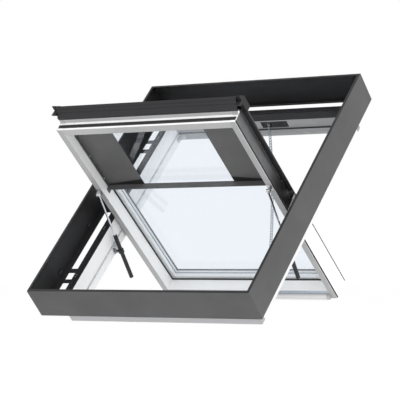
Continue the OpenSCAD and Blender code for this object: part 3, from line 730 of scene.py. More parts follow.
def prism(
    bm: BMesh,
    outline: Sequence[Point2],
    run: Run,
    start: Callable[[Point2], float],
    end: Callable[[Point2], float],
) -> None:
    """Draws a closed outline out along the slope or across the window.

    Args:
        bm: Mesh that the prism is added to.
        outline: Points as (x, n) for a run up the slope, else (s, n).
        run: Direction of the run.
        start: Where it starts, worked out for each point.
        end: Where it ends.
    """

    def at(point: Point2, along: float) -> Point3:
        """Returns a point's place at a distance along the run."""
        if run is Run.SLOPE:
            return (point[0], along, point[1])
        return (along, point[0], point[1])

    low = [bm.verts.new(at(p, start(p))) for p in outline]
    high = [bm.verts.new(at(p, end(p))) for p in outline]
    faces = [bm.faces.new(low[::-1]), bm.faces.new(high)]
    count = len(outline)
    for i in range(count):
        j = (i + 1) % count
        faces.append(bm.faces.new((low[i], low[j], high[j], high[i])))
    bmesh.ops.recalc_face_normals(bm, faces=faces)


def bent_sheet(path: Sequence[Point2], thick: float, radius: float) -> list[Point2]:
    """Returns the closed outline of a sheet bent along a path of corners.

    Args:
        path: Corners of the sheet's middle line.
        thick: Sheet thickness.
        radius: Bend radius of the middle line.

    Returns:
        Outline points, one side out and the other back.
    """
    line: list[tuple[Vector, Vector]] = []
    points = [Vector(p) for p in path]

    def normal(a: Vector, b: Vector) -> Vector:
        """Returns the direction square to the line from a to b."""
        d = (b - a).normalized()
        return Vector((-d.y, d.x))

    line.append((points[0], normal(points[0], points[1])))
    for before, corner, after in zip(points, points[1:], points[2:]):
        a, b = (before - corner).normalized(), (after - corner).normalized()
        half = math.acos(max(-1.0, min(1.0, a.dot(b)))) / 2
        room = BEND_ROOM * (before - corner).length
        reach = min(radius / math.tan(half), room)
        n0, n1 = normal(before, corner), normal(corner, after)
        for i in range(BEND_STEPS + 1):
            t = i / BEND_STEPS
            spot = (
                (corner + a * reach) * (1 - t) ** 2
                + corner * 2 * t * (1 - t)
                + (corner + b * reach) * t * t
            )
            line.append((spot, (n0 * (1 - t) + n1 * t).normalized()))
    line.append((points[-1], normal(points[-2], points[-1])))
    out = [tuple(p + n * thick / 2) for p, n in line]
    back = [tuple(p - n * thick / 2) for p, n in reversed(line)]
    return out + back


def settle(bm: BMesh, name: str, place: Matrix) -> Mesh:
    """Turns plane millimetres into a mesh in row metres.

    Args:
        bm: The mesh in the making, freed afterwards.
        name: Name of the new mesh.
        place: Matrix to the row frame.

    Returns:
        The mesh.
    """
    bmesh.ops.transform(bm, matrix=place, verts=bm.verts)
    return closed(bm, name)


# ---------------------------------------------------------------- fixings


RIVET_PROFILE: tuple[Ring, ...] = (
    (0.0, -6.4, 0.0),
    (3.2, -6.4, 0.0),
    (3.2, -5.0, 0.0),
    (1.9, -5.0, 0.0),
    (1.9, -0.4, 0.0),
    (3.0, 0.0, 0.0),
    (2.7, 0.3, 0.0),
    (1.6, 0.5, 0.0),
    (0.0, 0.5, 0.0),
)


def screw_profile(head: float, height: float, leg: float) -> tuple[Ring, ...]:
    """Returns the turned shape of a screw with a lobed recess.

    Args:
        head: Radius of the head.
        height: Height of the head.
        leg: Length of the shank.

    Returns:
        Rings as (radius, height, share of lobes).
    """
    return (
        (0.0, -leg, 0.0),
        (head * 0.3, -leg + head * 0.3, 0.0),
        (head * 0.45, -leg + head * 0.9, 0.0),
        (head * 0.45, 0.0, 0.0),
        (head, 0.0, 0.0),
        (head, height * 0.45, 0.0),
        (head * 0.86, height * 0.85, 0.0),
        (head * 0.62, height, 0.0),
        (head * 0.46, height, 0.22),
        (head * 0.40, height * 0.35, 0.22),
        (0.0, height * 0.3, 0.0),
    )


def turned_mesh(name: str, rings: Sequence[Ring]) -> Mesh:
    """Turns a profile about Z into a closed mesh in metres.

    Args:
        name: Name of the mesh.
        rings: Rings as (radius, height, share of lobes); ends on the axis.

    Returns:
        The mesh.
    """
    bm = bmesh.new()
    loops: list[list[BMVert]] = []
    for radius, height, lobes in rings:
        if radius == 0.0:
            loops.append([bm.verts.new((0.0, 0.0, height * MM))])
            continue
        loop = []
        for i in range(TURNED_FACES):
            angle = math.tau * i / TURNED_FACES
            reach = radius * (1.0 + lobes * math.cos(LOBES * angle)) * MM
            spot = (reach * math.cos(angle), reach * math.sin(angle), height * MM)
            loop.append(bm.verts.new(spot))
        loops.append(loop)
    for low, high in zip(loops, loops[1:]):
        for i in range(TURNED_FACES):
            j = (i + 1) % TURNED_FACES
            corners = [low[i % len(low)], low[j % len(low)]]
            corners += [high[j % len(high)], high[i % len(high)]]
            bm.faces.new(list(dict.fromkeys(corners)))
    bmesh.ops.recalc_face_normals(bm, faces=bm.faces)
    return closed(bm, name)


# ---------------------------------------------------------------- node trees


class TreeDesk(Desk):
    """Desk for a Geometry Nodes tree with named inputs.

    Args:
        name: Name of the tree.
        inputs: Socket type of each named input.
    """

    def __init__(self, name: str, inputs: dict[str, str]) -> None:
        """Makes the tree with its sockets."""
        self.tree = bpy.data.node_groups.new(name, "GeometryNodeTree")
        face = self.tree.interface
        everything = {"Geometry": "NodeSocketGeometry", **inputs}
        everything["Finish"] = "NodeSocketMaterial"
        for label, kind in everything.items():
            face.new_socket(label, in_out="INPUT", socket_type=kind)
        face.new_socket(
            "Geometry", in_out="OUTPUT", socket_type="NodeSocketGeometry"
        )
        self.start = self.node("NodeGroupInput")
        self.finish = self.node("NodeGroupOutput")

    def given(self, label: str) -> NodeSocket:
        """Returns the socket of a named input."""
        return self.start.outputs[label]

    def unit(self) -> NodeSocket:
        """Returns the geometry of the Unit input."""
        info = self.node("GeometryNodeObjectInfo", transform_space="ORIGINAL")
        self.link(self.given("Unit"), info.inputs["Object"])
        return info.outputs["Geometry"]

    def close(self, geometry: NodeSocket) -> NodeTree:
        """Ends the tree in plain geometry with its finish.

        Args:
            geometry: What the tree has made.

        Returns:
            The tree.
        """
        real = self.node("GeometryNodeRealizeInstances")
        coat = self.node("GeometryNodeSetMaterial")
        self.link(geometry, real.inputs["Geometry"])
        self.wire(real, "Geometry", coat, "Geometry")
        self.link(self.given("Finish"), coat.inputs["Material"])
        self.wire(coat, "Geometry", self.finish, "Geometry")
        return self.tree


def fixing_tree() -> NodeTree:
    """Returns the tree that seats a unit on points, aimed by their attribute."""
    desk = TreeDesk("seat_fixings", {"Unit": "NodeSocketObject"})
    aim = desk.node(
        "GeometryNodeInputNamedAttribute", data_type="FLOAT_VECTOR", Name="aim"
    )
    turn = desk.node("FunctionNodeAlignRotationToVector", axis="Z")
    desk.wire(aim, "Attribute", turn, "Vector")
    seat = desk.node("GeometryNodeInstanceOnPoints")
    desk.link(desk.given("Geometry"), seat.inputs["Points"])
    desk.link(desk.unit(), seat.inputs["Instance"])
    desk.wire(turn, "Rotation", seat, "Rotation")
    return desk.close(seat.outputs["Instances"])


def chain_tree() -> NodeTree:
    """Returns the tree that strings a unit along a curve at an even pitch."""
    desk = TreeDesk(
        "string_links", {"Unit": "NodeSocketObject", "Pitch": "NodeSocketFloat"}
    )
    curve = desk.node("GeometryNodeMeshToCurve")
    even = desk.node("GeometryNodeResampleCurve", mode="LENGTH")
    desk.link(desk.given("Geometry"), curve.inputs["Mesh"])
    desk.wire(curve, "Curve", even, "Curve")
    desk.link(desk.given("Pitch"), even.inputs["Length"])
    along = desk.node("GeometryNodeInputTangent")
    first = desk.node("FunctionNodeAlignRotationToVector", axis="Z")
    second = desk.node(
        "FunctionNodeAlignRotationToVector",
        axis="X",
        pivot_axis="Z",
        Vector=(1.0, 0.0, 0.0),
    )
    desk.wire(along, "Tangent", first, "Vector")
    desk.wire(first, "Rotation", second, "Rotation")
    seat = desk.node("GeometryNodeInstanceOnPoints")
    desk.wire(even, "Curve", seat, "Points")
    desk.link(desk.unit(), seat.inputs["Instance"])
    desk.wire(second, "Rotation", seat, "Rotation")
    return desk.close(seat.outputs["Instances"])


def lip_tree() -> NodeTree:
    """Returns the tree that draws a round sealing lip along its lines."""
    desk = TreeDesk("draw_lip", {"Radius": "NodeSocketFloat"})
    curve = desk.node("GeometryNodeMeshToCurve")
    section = desk.node("GeometryNodeCurvePrimitiveCircle", Resolution=14)
    skin = desk.node("GeometryNodeCurveToMesh", Fill_Caps=True)
    desk.link(desk.given("Geometry"), curve.inputs["Mesh"])
    desk.link(desk.given("Radius"), section.inputs["Radius"])
    desk.wire(curve, "Curve", skin, "Curve")
    desk.wire(section, "Curve", skin, "Profile Curve")
    return desk.close(skin.outputs["Mesh"])


def grow(
    name: str,
    seed: Mesh,
    tree: NodeTree,
    finish: Finish,
    unit: Mesh | None = None,
    **sizes: float,
) -> Mesh:
    """Runs a tree on a seed mesh and returns the plain result.

    Args:
        name: Name of the result.
        seed: Points or lines in row metres.
        tree: The tree.
        finish: Finish of the result.
        unit: Mesh of the Unit input.
        sizes: The tree's other named inputs.

    Returns:
        The evaluated mesh with its material.
    """
    scene = bpy.context.scene.collection
    holder = bpy.data.objects.new(name + "_seed", seed)
    scene.objects.link(holder)
    values: dict[str, object] = {"Finish": finish.material(), **sizes}
    stamp = None
    if unit is not None:
        stamp = bpy.data.objects.new(name + "_unit", unit)
        scene.objects.link(stamp)
        values["Unit"] = stamp
    modifier = holder.modifiers.new("grow", "NODES")
    modifier.node_group = tree
    for item in tree.interface.items_tree:
        if item.in_out == "INPUT" and item.name in values:
            modifier[item.identifier] = values[item.name]
    holder.update_tag()
    bpy.context.view_layer.update()
    graph = bpy.context.evaluated_depsgraph_get()
    mesh = bpy.data.meshes.new_from_object(holder.evaluated_get(graph))
    mesh.name = name
    holder.modifiers.clear()
    bpy.data.objects.remove(holder)
    if stamp is not None:
        bpy.data.objects.remove(stamp)
    return mesh


def seed_mesh(
    name: str, place: Matrix, spots: Sequence[Point3], lines: Sequence[tuple[int, int]]
) -> Mesh:
    """Returns points and lines given in plane millimetres, in row metres."""
    mesh = bpy.data.meshes.new(name)
    mesh.from_pydata([place @ Vector(spot) for spot in spots], list(lines), [])
    return mesh


def cross_line(s: float, reach: float, n: float) -> Line:
    """Returns a line across the window, as far to the left as to the right."""
    return (-reach, s, n), (reach, s, n)


def up_line(x: float, reach: float, n: float) -> Line:
    """Returns a line up the slope, as far down as up."""
    return (x, -reach, n), (x, reach, n)


# The node trees, filled in by main.
TREES: dict[str, NodeTree] = {}


@dataclass
class Assembly:
    """Base of the sub-assemblies: pieces that ride one rigid body."""

    body: ClassVar[Body] = Body.FRAME
    coats: ClassVar[tuple[Coat, ...]] = ()

    def dress(self) -> None:
        """Lays the plain finishes on the construction nodes."""
        for coat in self.coats:
            coat.lay(self.body.value)

    def two_tone(
        self,
        node: str,
        finishes: Sequence[Finish],
        slot: str,
        edge: Edge,
        second: Callable[[MeshPolygon], bool],
    ) -> None:
        """Shows a construction node in two finishes.

        Args:
            node: The construction node.
            finishes: Its two finishes.
            slot: Material slot of the record.
            edge: Width of the eased edges.
            second: Whether a face has the second finish.
        """
        mesh = clean_copy(node)
        for face in mesh.polygons:
            face.material_index = int(second(face))
        name = node + "_finished"
        add_piece(name, mesh, finishes, self.body.value, slot, [node], edge)

    def strip(
        self,
        name: str,
        outline: Sequence[Point2],
        run: Point2,
        finish: Finish,
        slot: str,
        taper: float = 0.0,
    ) -> None:
        """Draws an outline up the slope as one piece.

        Args:
            name: Name of the piece.
            outline: Closed outline as (x, n).
            run: Its lower and upper end.
            finish: Its finish.
            slot: Material slot of the record.
            taper: How much higher its outermost points start.
        """
        low, high = run
        outermost = max(abs(x) for x, _ in outline)

        def start(point: Point2) -> float:
            """Returns where the strip starts at a point of its outline."""
            return low + (taper if abs(point[0]) == outermost else 0.0)

        bm = bmesh.new()
        prism(bm, outline, Run.SLOPE, start, lambda _: high)
        mesh = settle(bm, name, PLACE.of(self.body))
        add_piece(name, mesh, [finish], self.body.value, slot)

    def sow(
        self,
        node: str,
        seats: Sequence[Seat],
        profile: Sequence[Ring],
        finish: Finish,
        slot: str,
    ) -> None:
        """Seats turned fixings in place of a construction node.

        Args:
            node: The construction node.
            seats: Spots and directions in the window's plane.
            profile: Turned shape of one fixing.
            finish: Its finish.
            slot: Material slot of the record.
        """
        place = PLACE.of(self.body)
        seed = seed_mesh(node + "_points", place, [spot for spot, _ in seats], [])
        aims = seed.attributes.new("aim", "FLOAT_VECTOR", "POINT")
        turn = place.to_3x3().normalized()
        for item, (_, way) in zip(aims.data, seats):
            item.vector = (turn @ Vector(way)).normalized()
        unit = turned_mesh(node + "_unit", profile)
        mesh = grow(node + "_driven", seed, TREES["fixing"], finish, unit)
        add_piece(node + "_driven", mesh, [], self.body.value, slot, [node])

    def draw_lips(
        self,
        name: str,
        radius: float,
        lines: Sequence[Line],
        slot: str = "gasket_rubber",
        finish: Finish = GASKET,
    ) -> None:
        """Draws round lips along straight lines of the window's plane.

        Args:
            name: Name of the piece.
            radius: Radius of the lips.
            lines: Their lines.
            slot: Material slot of the record.
            finish: Its finish.
        """
        spots = [spot for line in lines for spot in line]
        pairs = [(2 * i, 2 * i + 1) for i in range(len(lines))]
        seed = seed_mesh(name + "_lines", PLACE.of(self.body), spots, pairs)
        mesh = grow(name, seed, TREES["lip"], finish, Radius=radius * MM)
        add_piece(name, mesh, [], self.body.value, slot)


# ---------------------------------------------------------------- deflector


@dataclass(frozen=True)
class EndStraps:
    """The pair of straps under one end panel of the ring.

    Args:
        side: -1 for the lower end, 1 for the upper end.
        level: Height of the straps' screw heads.
        rivet_level: Height of their rivets.
        row: Distance of each strap from the middle.
    """

    side: int
    level: float
    rivet_level: float
    row: float


@dataclass
class DeflectorRing(Assembly):
    """Wind deflector: folded sheet panels on straps and slotted flanges.

    The upstand reaches into the foot by the seam, and two fixings of a pair
    stand apart by twice the pair value.
    """

    coats: ClassVar[tuple[Coat, ...]] = (
        # The flanges and straps inside the ring take the darker copy of the coat, as
        # painted shade.
        Coat(
            ("side_flange_left", "side_flange_right", "end_straps"),
            RING_SHADE,
            "deflector_paint",
        ),
        Coat(("corner_plates",), DARK_PLATE_AND_SHADOW, "deflector_paint", Edge.PLATE),
    )
    half_width: float = 540.0
    half_length: float = 658.0
    height: float = 149.0
    sheet: float = 2.0
    lip: float = 12.0
    foot: float = 12.0
    foot_height: float = 10.0
    bend: float = 2.2
    notch: float = 13.0
    seam: float = 0.1
    pair: float = 6.0
    strap_rows: tuple[float, ...] = (-440.0, -147.5, 147.5, 440.0)
    strap_x: float = 465.0
    strap_level: float = 19.0
    rivet_level: float = 40.0
    end_strap_s: float = 585.0
    ends: tuple[EndStraps, EndStraps] = (
        EndStraps(-1, -11.0, 26.0, 410.0),
        EndStraps(1, 30.0, 51.0, 455.0),
    )

    def build(self) -> None:
        """Builds and dresses the ring."""
        self.panel("deflector_left", Run.SLOPE, -1)
        self.panel("deflector_right", Run.SLOPE, 1)
        self.panel("deflector_bottom", Run.ACROSS, -1)
        self.panel("deflector_top", Run.ACROSS, 1)
        self.dress()
        self.fixings()

    def outline(self, reach: float, sign: int, stand: bool) -> list[Point2]:
        """Returns a panel's section: upstand (or none), foot, wall and lip.

        Args:
            reach: Distance of the panel's outer face from the middle.
            sign: Side of the window that it stands on.
            stand: Whether the upstand belongs to the section.

        Returns:
            The closed outline.
        """
        wall = reach - self.sheet / 2
        top = self.height - self.sheet / 2
        floor = self.sheet / 2
        heel = reach - self.foot + floor
        path = [
            (heel * sign, self.foot_height),
            (heel * sign, floor),
            (wall * sign, floor),
            (wall * sign, top),
            ((reach - self.lip) * sign, top),
        ]
        return bent_sheet(path if stand else path[1:], self.sheet, self.bend)

    def upstand(self, bm: BMesh) -> None:
        """Adds the bottom panel's upstand, notched for the straps.

        Args:
            bm: The panel in the making.
        """
        inner = -(self.half_length - self.foot)
        low = self.sheet - self.seam
        outline = [
            (inner, low),
            (inner, self.foot_height),
            (inner - self.sheet, self.foot_height),
            (inner - self.sheet, low),
        ]
        limit = self.half_width - self.foot
        near = self.ends[0].row - self.notch
        far = self.ends[0].row + self.notch
        for left, right in ((-limit, -far), (-near, near), (far, limit)):
            prism(bm, outline, Run.ACROSS, lambda _: left, lambda _: right)

    def panel(self, node: str, run: Run, sign: int) -> None:
        """Builds one panel with mitred ends and two finishes: the coat, and a darker
        copy of it as painted shade on the inner faces, the foot and the lip's top.

        Args:
            node: Construction node that it is shown in place of.
            run: Direction that the panel runs in.
            sign: Side of the window that it stands on.
        """
        long_side = run is Run.SLOPE
        reach = self.half_width if long_side else self.half_length
        other = self.half_length if long_side else self.half_width

        def end(point: Point2) -> float:
            """Returns where the mitred end lies at a point of the section."""
            return other - (reach - abs(point[0]))

        bm = bmesh.new()
        notched = node == "deflector_bottom"
        outline = self.outline(reach, sign, not notched)
        prism(bm, outline, run, lambda point: -end(point), end)
        if notched:
            self.upstand(bm)
        outward = Vector((sign, 0, 0)) if long_side else Vector((0, sign, 0))
        wall = reach - 1.5 * self.sheet
        lip_level = self.height - 2 * self.sheet
        # Inward faces, the foot and the lip's top take the darker copy of the coat:
        # painted shade.
        for face in bm.faces:
            middle = face.calc_center_median()
            in_foot = middle.z < self.foot_height and middle.dot(outward) < wall
            lip_top = face.normal.z > FACING and middle.z > lip_level
            if face.normal.dot(outward) < -FACING or in_foot or lip_top:
                face.material_index = 1
        mesh = settle(bm, node, PLACE.fixed())
        coats = [RING_OUTER, RING_SHADE]
        place = (self.body.value, "deflector_paint", [node], Edge.PANEL)
        add_piece(node + "_panel", mesh, coats, *place)

    def fixings(self) -> None:
        """Drives the strap screws and sets the rivets."""
        screws: list[Seat] = []
        rivets: list[Seat] = []
        pair = (-self.pair, self.pair)
        for m in SIDES:
            for s in (row + d for row in self.strap_rows for d in pair):
                screws.append(((m * self.strap_x, s, self.strap_level), OUTWARD))
                rivets.append(((m * self.half_width, s, self.rivet_level), (m, 0, 0)))
        for end in self.ends:
            k = end.side
            for x in (m * end.row + d for m in SIDES for d in pair):
                screws.append(((x, k * self.end_strap_s, end.level), OUTWARD))
                rivets.append(((x, k * self.half_length, end.rivet_level), (0, k, 0)))
        shape = screw_profile(head=2.6, height=2.0, leg=12.0)
        self.sow("strap_screws", screws, shape, ZINC, "bright_steel")
        rivet = (RIVET_PROFILE, RING_OUTER, "deflector_paint")
        self.sow("strap_rivets", rivets, *rivet)


# ---------------------------------------------------------------- frame


@dataclass(frozen=True)
class ChainLink:
    """One link of the push chain: two waisted side plates and a roller.

    The waist is the share of a plate's depth that is left between its eyes.
    """

    pitch: float = 12.0
    plate_depth: float = 4.1
    overhang: float = 3.4
    waist: float = 0.62
    plate_sides: Point2 = (3.9, 5.6)
    roller_radius: float = 3.1
    roller_length: float = 7.9
    points: int = 24

    def side(self) -> list[Point2]:
        """Returns the outline of a side plate."""
        half = self.pitch / 2 + self.overhang
        points = []
        for i in range(self.points):
            angle = math.tau * i / self.points
            swell = (1 - self.waist) * abs(math.sin(angle)) ** 0.5
            depth = self.plate_depth * (self.waist + swell)
            points.append((depth * math.cos(angle), half * math.sin(angle)))
        return points

    def mesh(self) -> Mesh:
        """Returns the link's mesh in metres, running up Z."""
        bm = bmesh.new()
        side = self.side()
        near, far = self.plate_sides
        for start, end in ((-far, -near), (near, far)):
            prism(bm, side, Run.ACROSS, lambda _: start, lambda _: end)
        turn = Matrix.Rotation(math.pi / 2, 4, "Y")
        bmesh.ops.create_cone(
            bm,
            cap_ends=True,
            segments=20,
            radius1=self.roller_radius,
            radius2=self.roller_radius,
            depth=self.roller_length,
            matrix=Matrix.Translation((0, 0, self.pitch / 2)) @ turn,
        )
        bmesh.ops.recalc_face_normals(bm, faces=bm.faces)
        return settle(bm, "chain_link", Matrix.Scale(MM, 4))


@dataclass
class WindowFrame(Assembly):
    """Fixed frame with its casings, gasket, pivots, brackets and drive.

    Its gasket is pale along the sides, past the pale_past distance from the
    middle. The chain's pulls are the directions of its curve at the two ends.
    """

    coats: ClassVar[tuple[Coat, ...]] = (
        # The white bottom member takes a grey copy of the lacquer: painted shade.
        Coat(("frame_bottom_member",), BOTTOM_MEMBER_SHADE, "frame_lacquer", Edge.MEMBER),
        # The white top member takes a grey copy of the lacquer: painted shade.
        Coat(("frame_top_member",), TOP_MEMBER_SHADE, "frame_lacquer", Edge.MEMBER),
        Coat(
            ("frame_side_left", "frame_side_right"),
            FRAME_WHITE,
            "frame_lacquer",
            Edge.MEMBER,
        ),
        Coat(
            ("casing_top", "casing_left", "casing_right"),
            CASING_DARK,
            "casing_paint",
            Edge.COVER,
        ),
        Coat(
            ("pivot_housing_left", "pivot_housing_right"),
            PIVOT_BLACK,
            "pivot_plastic",
            Edge.MOULDING,
        ),
        Coat(("stay_brackets", "frame_corner_angles"), ZINC, "bright_steel"),
        Coat(("drive_nozzle",), DRIVE_DARK, "bright_steel"),
        Coat(("drive_housing",), DRIVE_DARK, "drive_paint", Edge.HOUSING),
        Coat(("drive_end_caps",), PIVOT_BLACK, "pivot_plastic", Edge.HOUSING),
    )
    pivot_screw_x: float = 458.0
    pivot_screw_n: float = 23.0
    pivot_screw_pair: float = 26.0
    stay_screw_at: Point3 = (443.0, -172.0, -77.0)
    stay_screw_pair: float = 14.0
    pale_past: float = 441.5
    bulb: float = 2.2
    bulb_n: float = -59.5
    side_bulb_x: float = 443.2
    side_bulb_reach: float = 556.0
    end_bulb_s: float = 557.2
    end_bulb_reach: float = 441.0
    rib: float = 1.1
    rib_row: range = range(66, 136, 5)
    rib_s: float = 563.2
    rib_ends: Point2 = (-49.5, -20.0)
    link: ChainLink = ChainLink()
    chain_x: float = 48.0
    chain_start: Point2 = (-20.9, -509.3)
    chain_end: Point2 = (564.0, -30.0)
    chain_pulls: tuple[Point2, Point2] = ((171.0, -35.0), (-56.0, -100.0))
    chain_steps: int = 60

    def build(self) -> None:
        """Builds and dresses the frame."""
        self.dress()
        self.two_tone(
            "frame_gasket",
            [GASKET, SEAL_LIGHT],
            "gasket_rubber",
            Edge.SOFT,
            lambda face: abs(face.center.x) > self.pale_past * MM,
        )
        self.fixings()
        self.lips()
        self.chain()

    def fixings(self) -> None:
        """Drives the pivot and stay bracket screws."""
        seats: list[Seat] = []
        x, s, n = self.stay_screw_at
        for m in SIDES:
            for d in (-self.pivot_screw_pair, self.pivot_screw_pair):
                spot = (m * self.pivot_screw_x, PLACE.pivot[0] + d, self.pivot_screw_n)
                seats.append((spot, OUTWARD))
            for d in (-self.stay_screw_pair, self.stay_screw_pair):
                seats.append(((m * x, s + d, n), (-m, 0, 0)))
        shape = screw_profile(head=3.6, height=1.5, leg=13.0)
        self.sow("bracket_screws", seats, shape, ZINC, "bright_steel")

    def lips(self) -> None:
        """Draws the sealing gasket's bulbs and the ribs on the drive's face."""
        x, s, n = self.side_bulb_x, self.end_bulb_s, self.bulb_n
        sides = [up_line(m * x, self.side_bulb_reach, n) for m in SIDES]
        ends = [cross_line(m * s, self.end_bulb_reach, n) for m in SIDES]
        self.draw_lips("frame_side_bulbs", self.bulb, sides, finish=SEAL_LIGHT)
        self.draw_lips("frame_end_bulbs", self.bulb, ends)
        low, high = self.rib_ends
        ribs = [((x, self.rib_s, low), (x, self.rib_s, high)) for x in self.rib_row]
        self.draw_lips("drive_ribs", self.rib, ribs, "drive_paint", DRIVE_DARK)

    def chain_path(self) -> list[Point3]:
        """Returns the chain's sagging path from the sash to the drive."""
        start, end = Vector(self.chain_start), Vector(self.chain_end)
        after = start + Vector(self.chain_pulls[0])
        before = end + Vector(self.chain_pulls[1])
        path = []
        for i in range(self.chain_steps + 1):
            t = i / self.chain_steps
            spot = (
                start * (1 - t) ** 3
                + after * 3 * (1 - t) ** 2 * t
                + before * 3 * (1 - t) * t * t
                + end * t**3
            )
            path.append((self.chain_x, spot.x, spot.y))
        return path

    def chain(self) -> None:
        """Strings the push chain along its path into the drive."""
        path = self.chain_path()
        pairs = [(i, i + 1) for i in range(len(path) - 1)]
        place = PLACE.fixed()
        mesh = grow(
            "push_chain_links",
            seed_mesh("chain_line", place, path, pairs),
            TREES["chain"],
            CHAIN_METAL,
            self.link.mesh(),
            Pitch=self.link.pitch * MM,
        )
        steel = (self.body.value, "chain_steel", ["push_chain"])
        piece = add_piece("push_chain_links", mesh, [], *steel)
        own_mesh(piece)


# ---------------------------------------------------------------- sash


@dataclass
class GlazedSash(Assembly):
    """Swinging sash with panes, seals, cladding, screen and ear brackets."""

    body: ClassVar[Body] = Body.SASH
    members: ClassVar[tuple[tuple[str, Finish], ...]] = (
        # Second finishes are grey copies of the lacquer: painted shade on the members'
        # inward faces.
        ("sash_bottom_rail", RAIL_FACE_SHADE),
        ("sash_top_rail", RAIL_FACE_SHADE),
        ("sash_stile_left", STILE_FACE_SHADE),
        ("sash_stile_right", STILE_FACE_SHADE),
    )
    coats: ClassVar[tuple[Coat, ...]] = (
        Coat(("pane_outer", "pane_inner"), GLASS, "pane_glass"),
        Coat(("pane_spacer",), SPACER_METAL, "spacer_metal"),
        Coat(("pane_seal",), SEAL_PALE, "gasket_rubber"),
        Coat(("glazing_gasket", "sash_gasket"), GASKET, "gasket_rubber"),
        Coat(
            ("cladding_top", "drip_wing", "side_wings"),
            CLADDING_DARK,
            "cladding_paint",
            Edge.COVER,
        ),
        Coat(("wing_cap_left", "wing_cap_right"), WING_BLACK, "wing_plastic", Edge.CAP),
        Coat(
            ("screen_left", "screen_right", "screen_bar"), SCREEN_GREY, "screen_paint"
        ),
        Coat(("pivot_pins", "rod_brackets", "chain_bracket"), ZINC, "bright_steel"),
        Coat(("vent_strip",), FILTER, "vent_mesh"),
    )
    side: float = 438.0
    cover_sheet: float = 0.7
    cover_skin: Point2 = (-0.5, 0.4)
    cover_hem: float = 2.0
    cover_bend: float = 0.6
    cover_edges: Point2 = (-40.8, 16.0)
    cover_run: Point2 = (-547.0, -16.0)
    seal_skin: Point2 = (-0.4, 0.5)
    seal_bevel: float = 0.4
    seal_edges: Point2 = (-49.4, -41.6)
    seal_run: Point2 = (-547.0, 547.0)
    leg_past: float = 439.7
    screen_outer_x: float = 406.4
    screen_inner_x: float = 225.0
    # Painted shadow strip on each screen where it meets the bar: its height band, run
    # and taper.
    shadow_skin: Point2 = (3.5, 4.1)
    shadow_run: Point2 = (-178.0, -148.1)
    shadow_taper: float = 24.0
    screen_screw_x: float = 406.8
    screen_screw_n: float = -1.0
    screen_screw_rows: tuple[float, ...] = (-475.0, -335.0, -195.0)
    end_bulb: float = 1.6
    end_bulb_s: float = -549.2
    end_bulb_reach: float = 433.0
    end_bulb_rows: tuple[float, ...] = (-36.0, -26.0)
    side_bulb: float = 3.0
    side_bulb_x: float = 437.0
    side_bulb_n: float = -43.5
    side_bulb_reach: float = 546.0
    glazing_lip: float = 1.2
    glazing_x: float = 407.0
    glazing_n: float = 8.5
    glazing_ends: Point2 = (-512.0, 495.0)
    wing_rib: float = 1.0
    wing_rib_reach: float = 439.0
    wing_rib_rows: tuple[Point2, ...] = ((-590.6, 8.6), (-602.8, 17.0))
    slat: float = 1.2
    slat_n: float = -49.6
    slat_ends: Point2 = (502.6, 513.4)
    slat_row: range = range(-392, 393, 8)

    def build(self) -> None:
        """Builds and dresses the sash."""
        inward = (PLACE.open().to_3x3() @ Vector((0, 0, -1))).normalized()
        # Faces turned inward take the member's grey copy of the lacquer: painted shade
        # on the white sash.
        for node, finish in self.members:
            self.two_tone(
                node,
                [SASH_WHITE, finish],
                "sash_lacquer",
                Edge.MEMBER,
                lambda face: face.normal.dot(inward) > SQUARE_ON,
            )
        # The cladding legs' outward side faces take a grey metal: painted shade.
        leg = self.leg_past * MM
        for side in ("left", "right"):
            self.two_tone(
                f"cladding_{side}",
                [CLADDING_DARK, LEG_SHADE_METAL],
                "cladding_paint",
                Edge.COVER,
                lambda face: abs(face.center.x) > leg
                and abs(face.normal.x) > SQUARE_ON,
            )
        self.dress()
        self.strips()
        self.fixings()
        self.lips()

    def strips(self) -> None:
        """Lays the grey side covers, which paint shade on the stiles' sides, the side
        seal strips and the painted shadow strips on the screens.
        """
        for name, m in zip(("left", "right"), SIDES):
            # The grey side cover is painted shade over the white stile's side.
            inside, skin = (m * (self.side + d) for d in self.cover_skin)
            (low, high), hem = self.cover_edges, self.cover_hem
            leg = [(skin, low + hem), (skin, high - hem)]
            path = [(inside, low), *leg, (inside, high)]
            cover = bent_sheet(path, self.cover_sheet, self.cover_bend)
            metal = (self.cover_run, COVER_SHADE_METAL, "cladding_paint")
            self.strip(f"side_cover_{name}", cover, *metal)
            inside, skin = (m * (self.side + d) for d in self.seal_skin)
            low, high = self.seal_edges
            foot = low + self.seal_bevel
            seal = [(inside, low), (skin, foot), (skin, high), (inside, high)]
            rubber = (self.seal_run, GASKET, "gasket_rubber")
            self.strip(f"side_seal_strip_{name}", seal, *rubber)
            # Painted shadow: a thin dark strip on the screen where it meets the bar,
            # shorter at its outer end.
            outer, inner = m * self.screen_outer_x, m * self.screen_inner_x
            low, high = self.shadow_skin
            shadow_outline = [(outer, high), (outer, low), (inner, low), (inner, high)]
            dark = (self.shadow_run, DARK_PLATE_AND_SHADOW, "screen_paint", self.shadow_taper)
            self.strip(f"screen_fold_{name}", shadow_outline, *dark)

    def fixings(self) -> None:
        """Drives the screens' screws."""
        x, n = self.screen_screw_x, self.screen_screw_n
        rows = self.screen_screw_rows
        seats = [((m * x, s, n), (-m, 0, 0)) for m in SIDES for s in rows]
        shape = screw_profile(head=4.0, height=1.8, leg=2.9)
        self.sow("screen_screws", seats, shape, ZINC, "bright_steel")

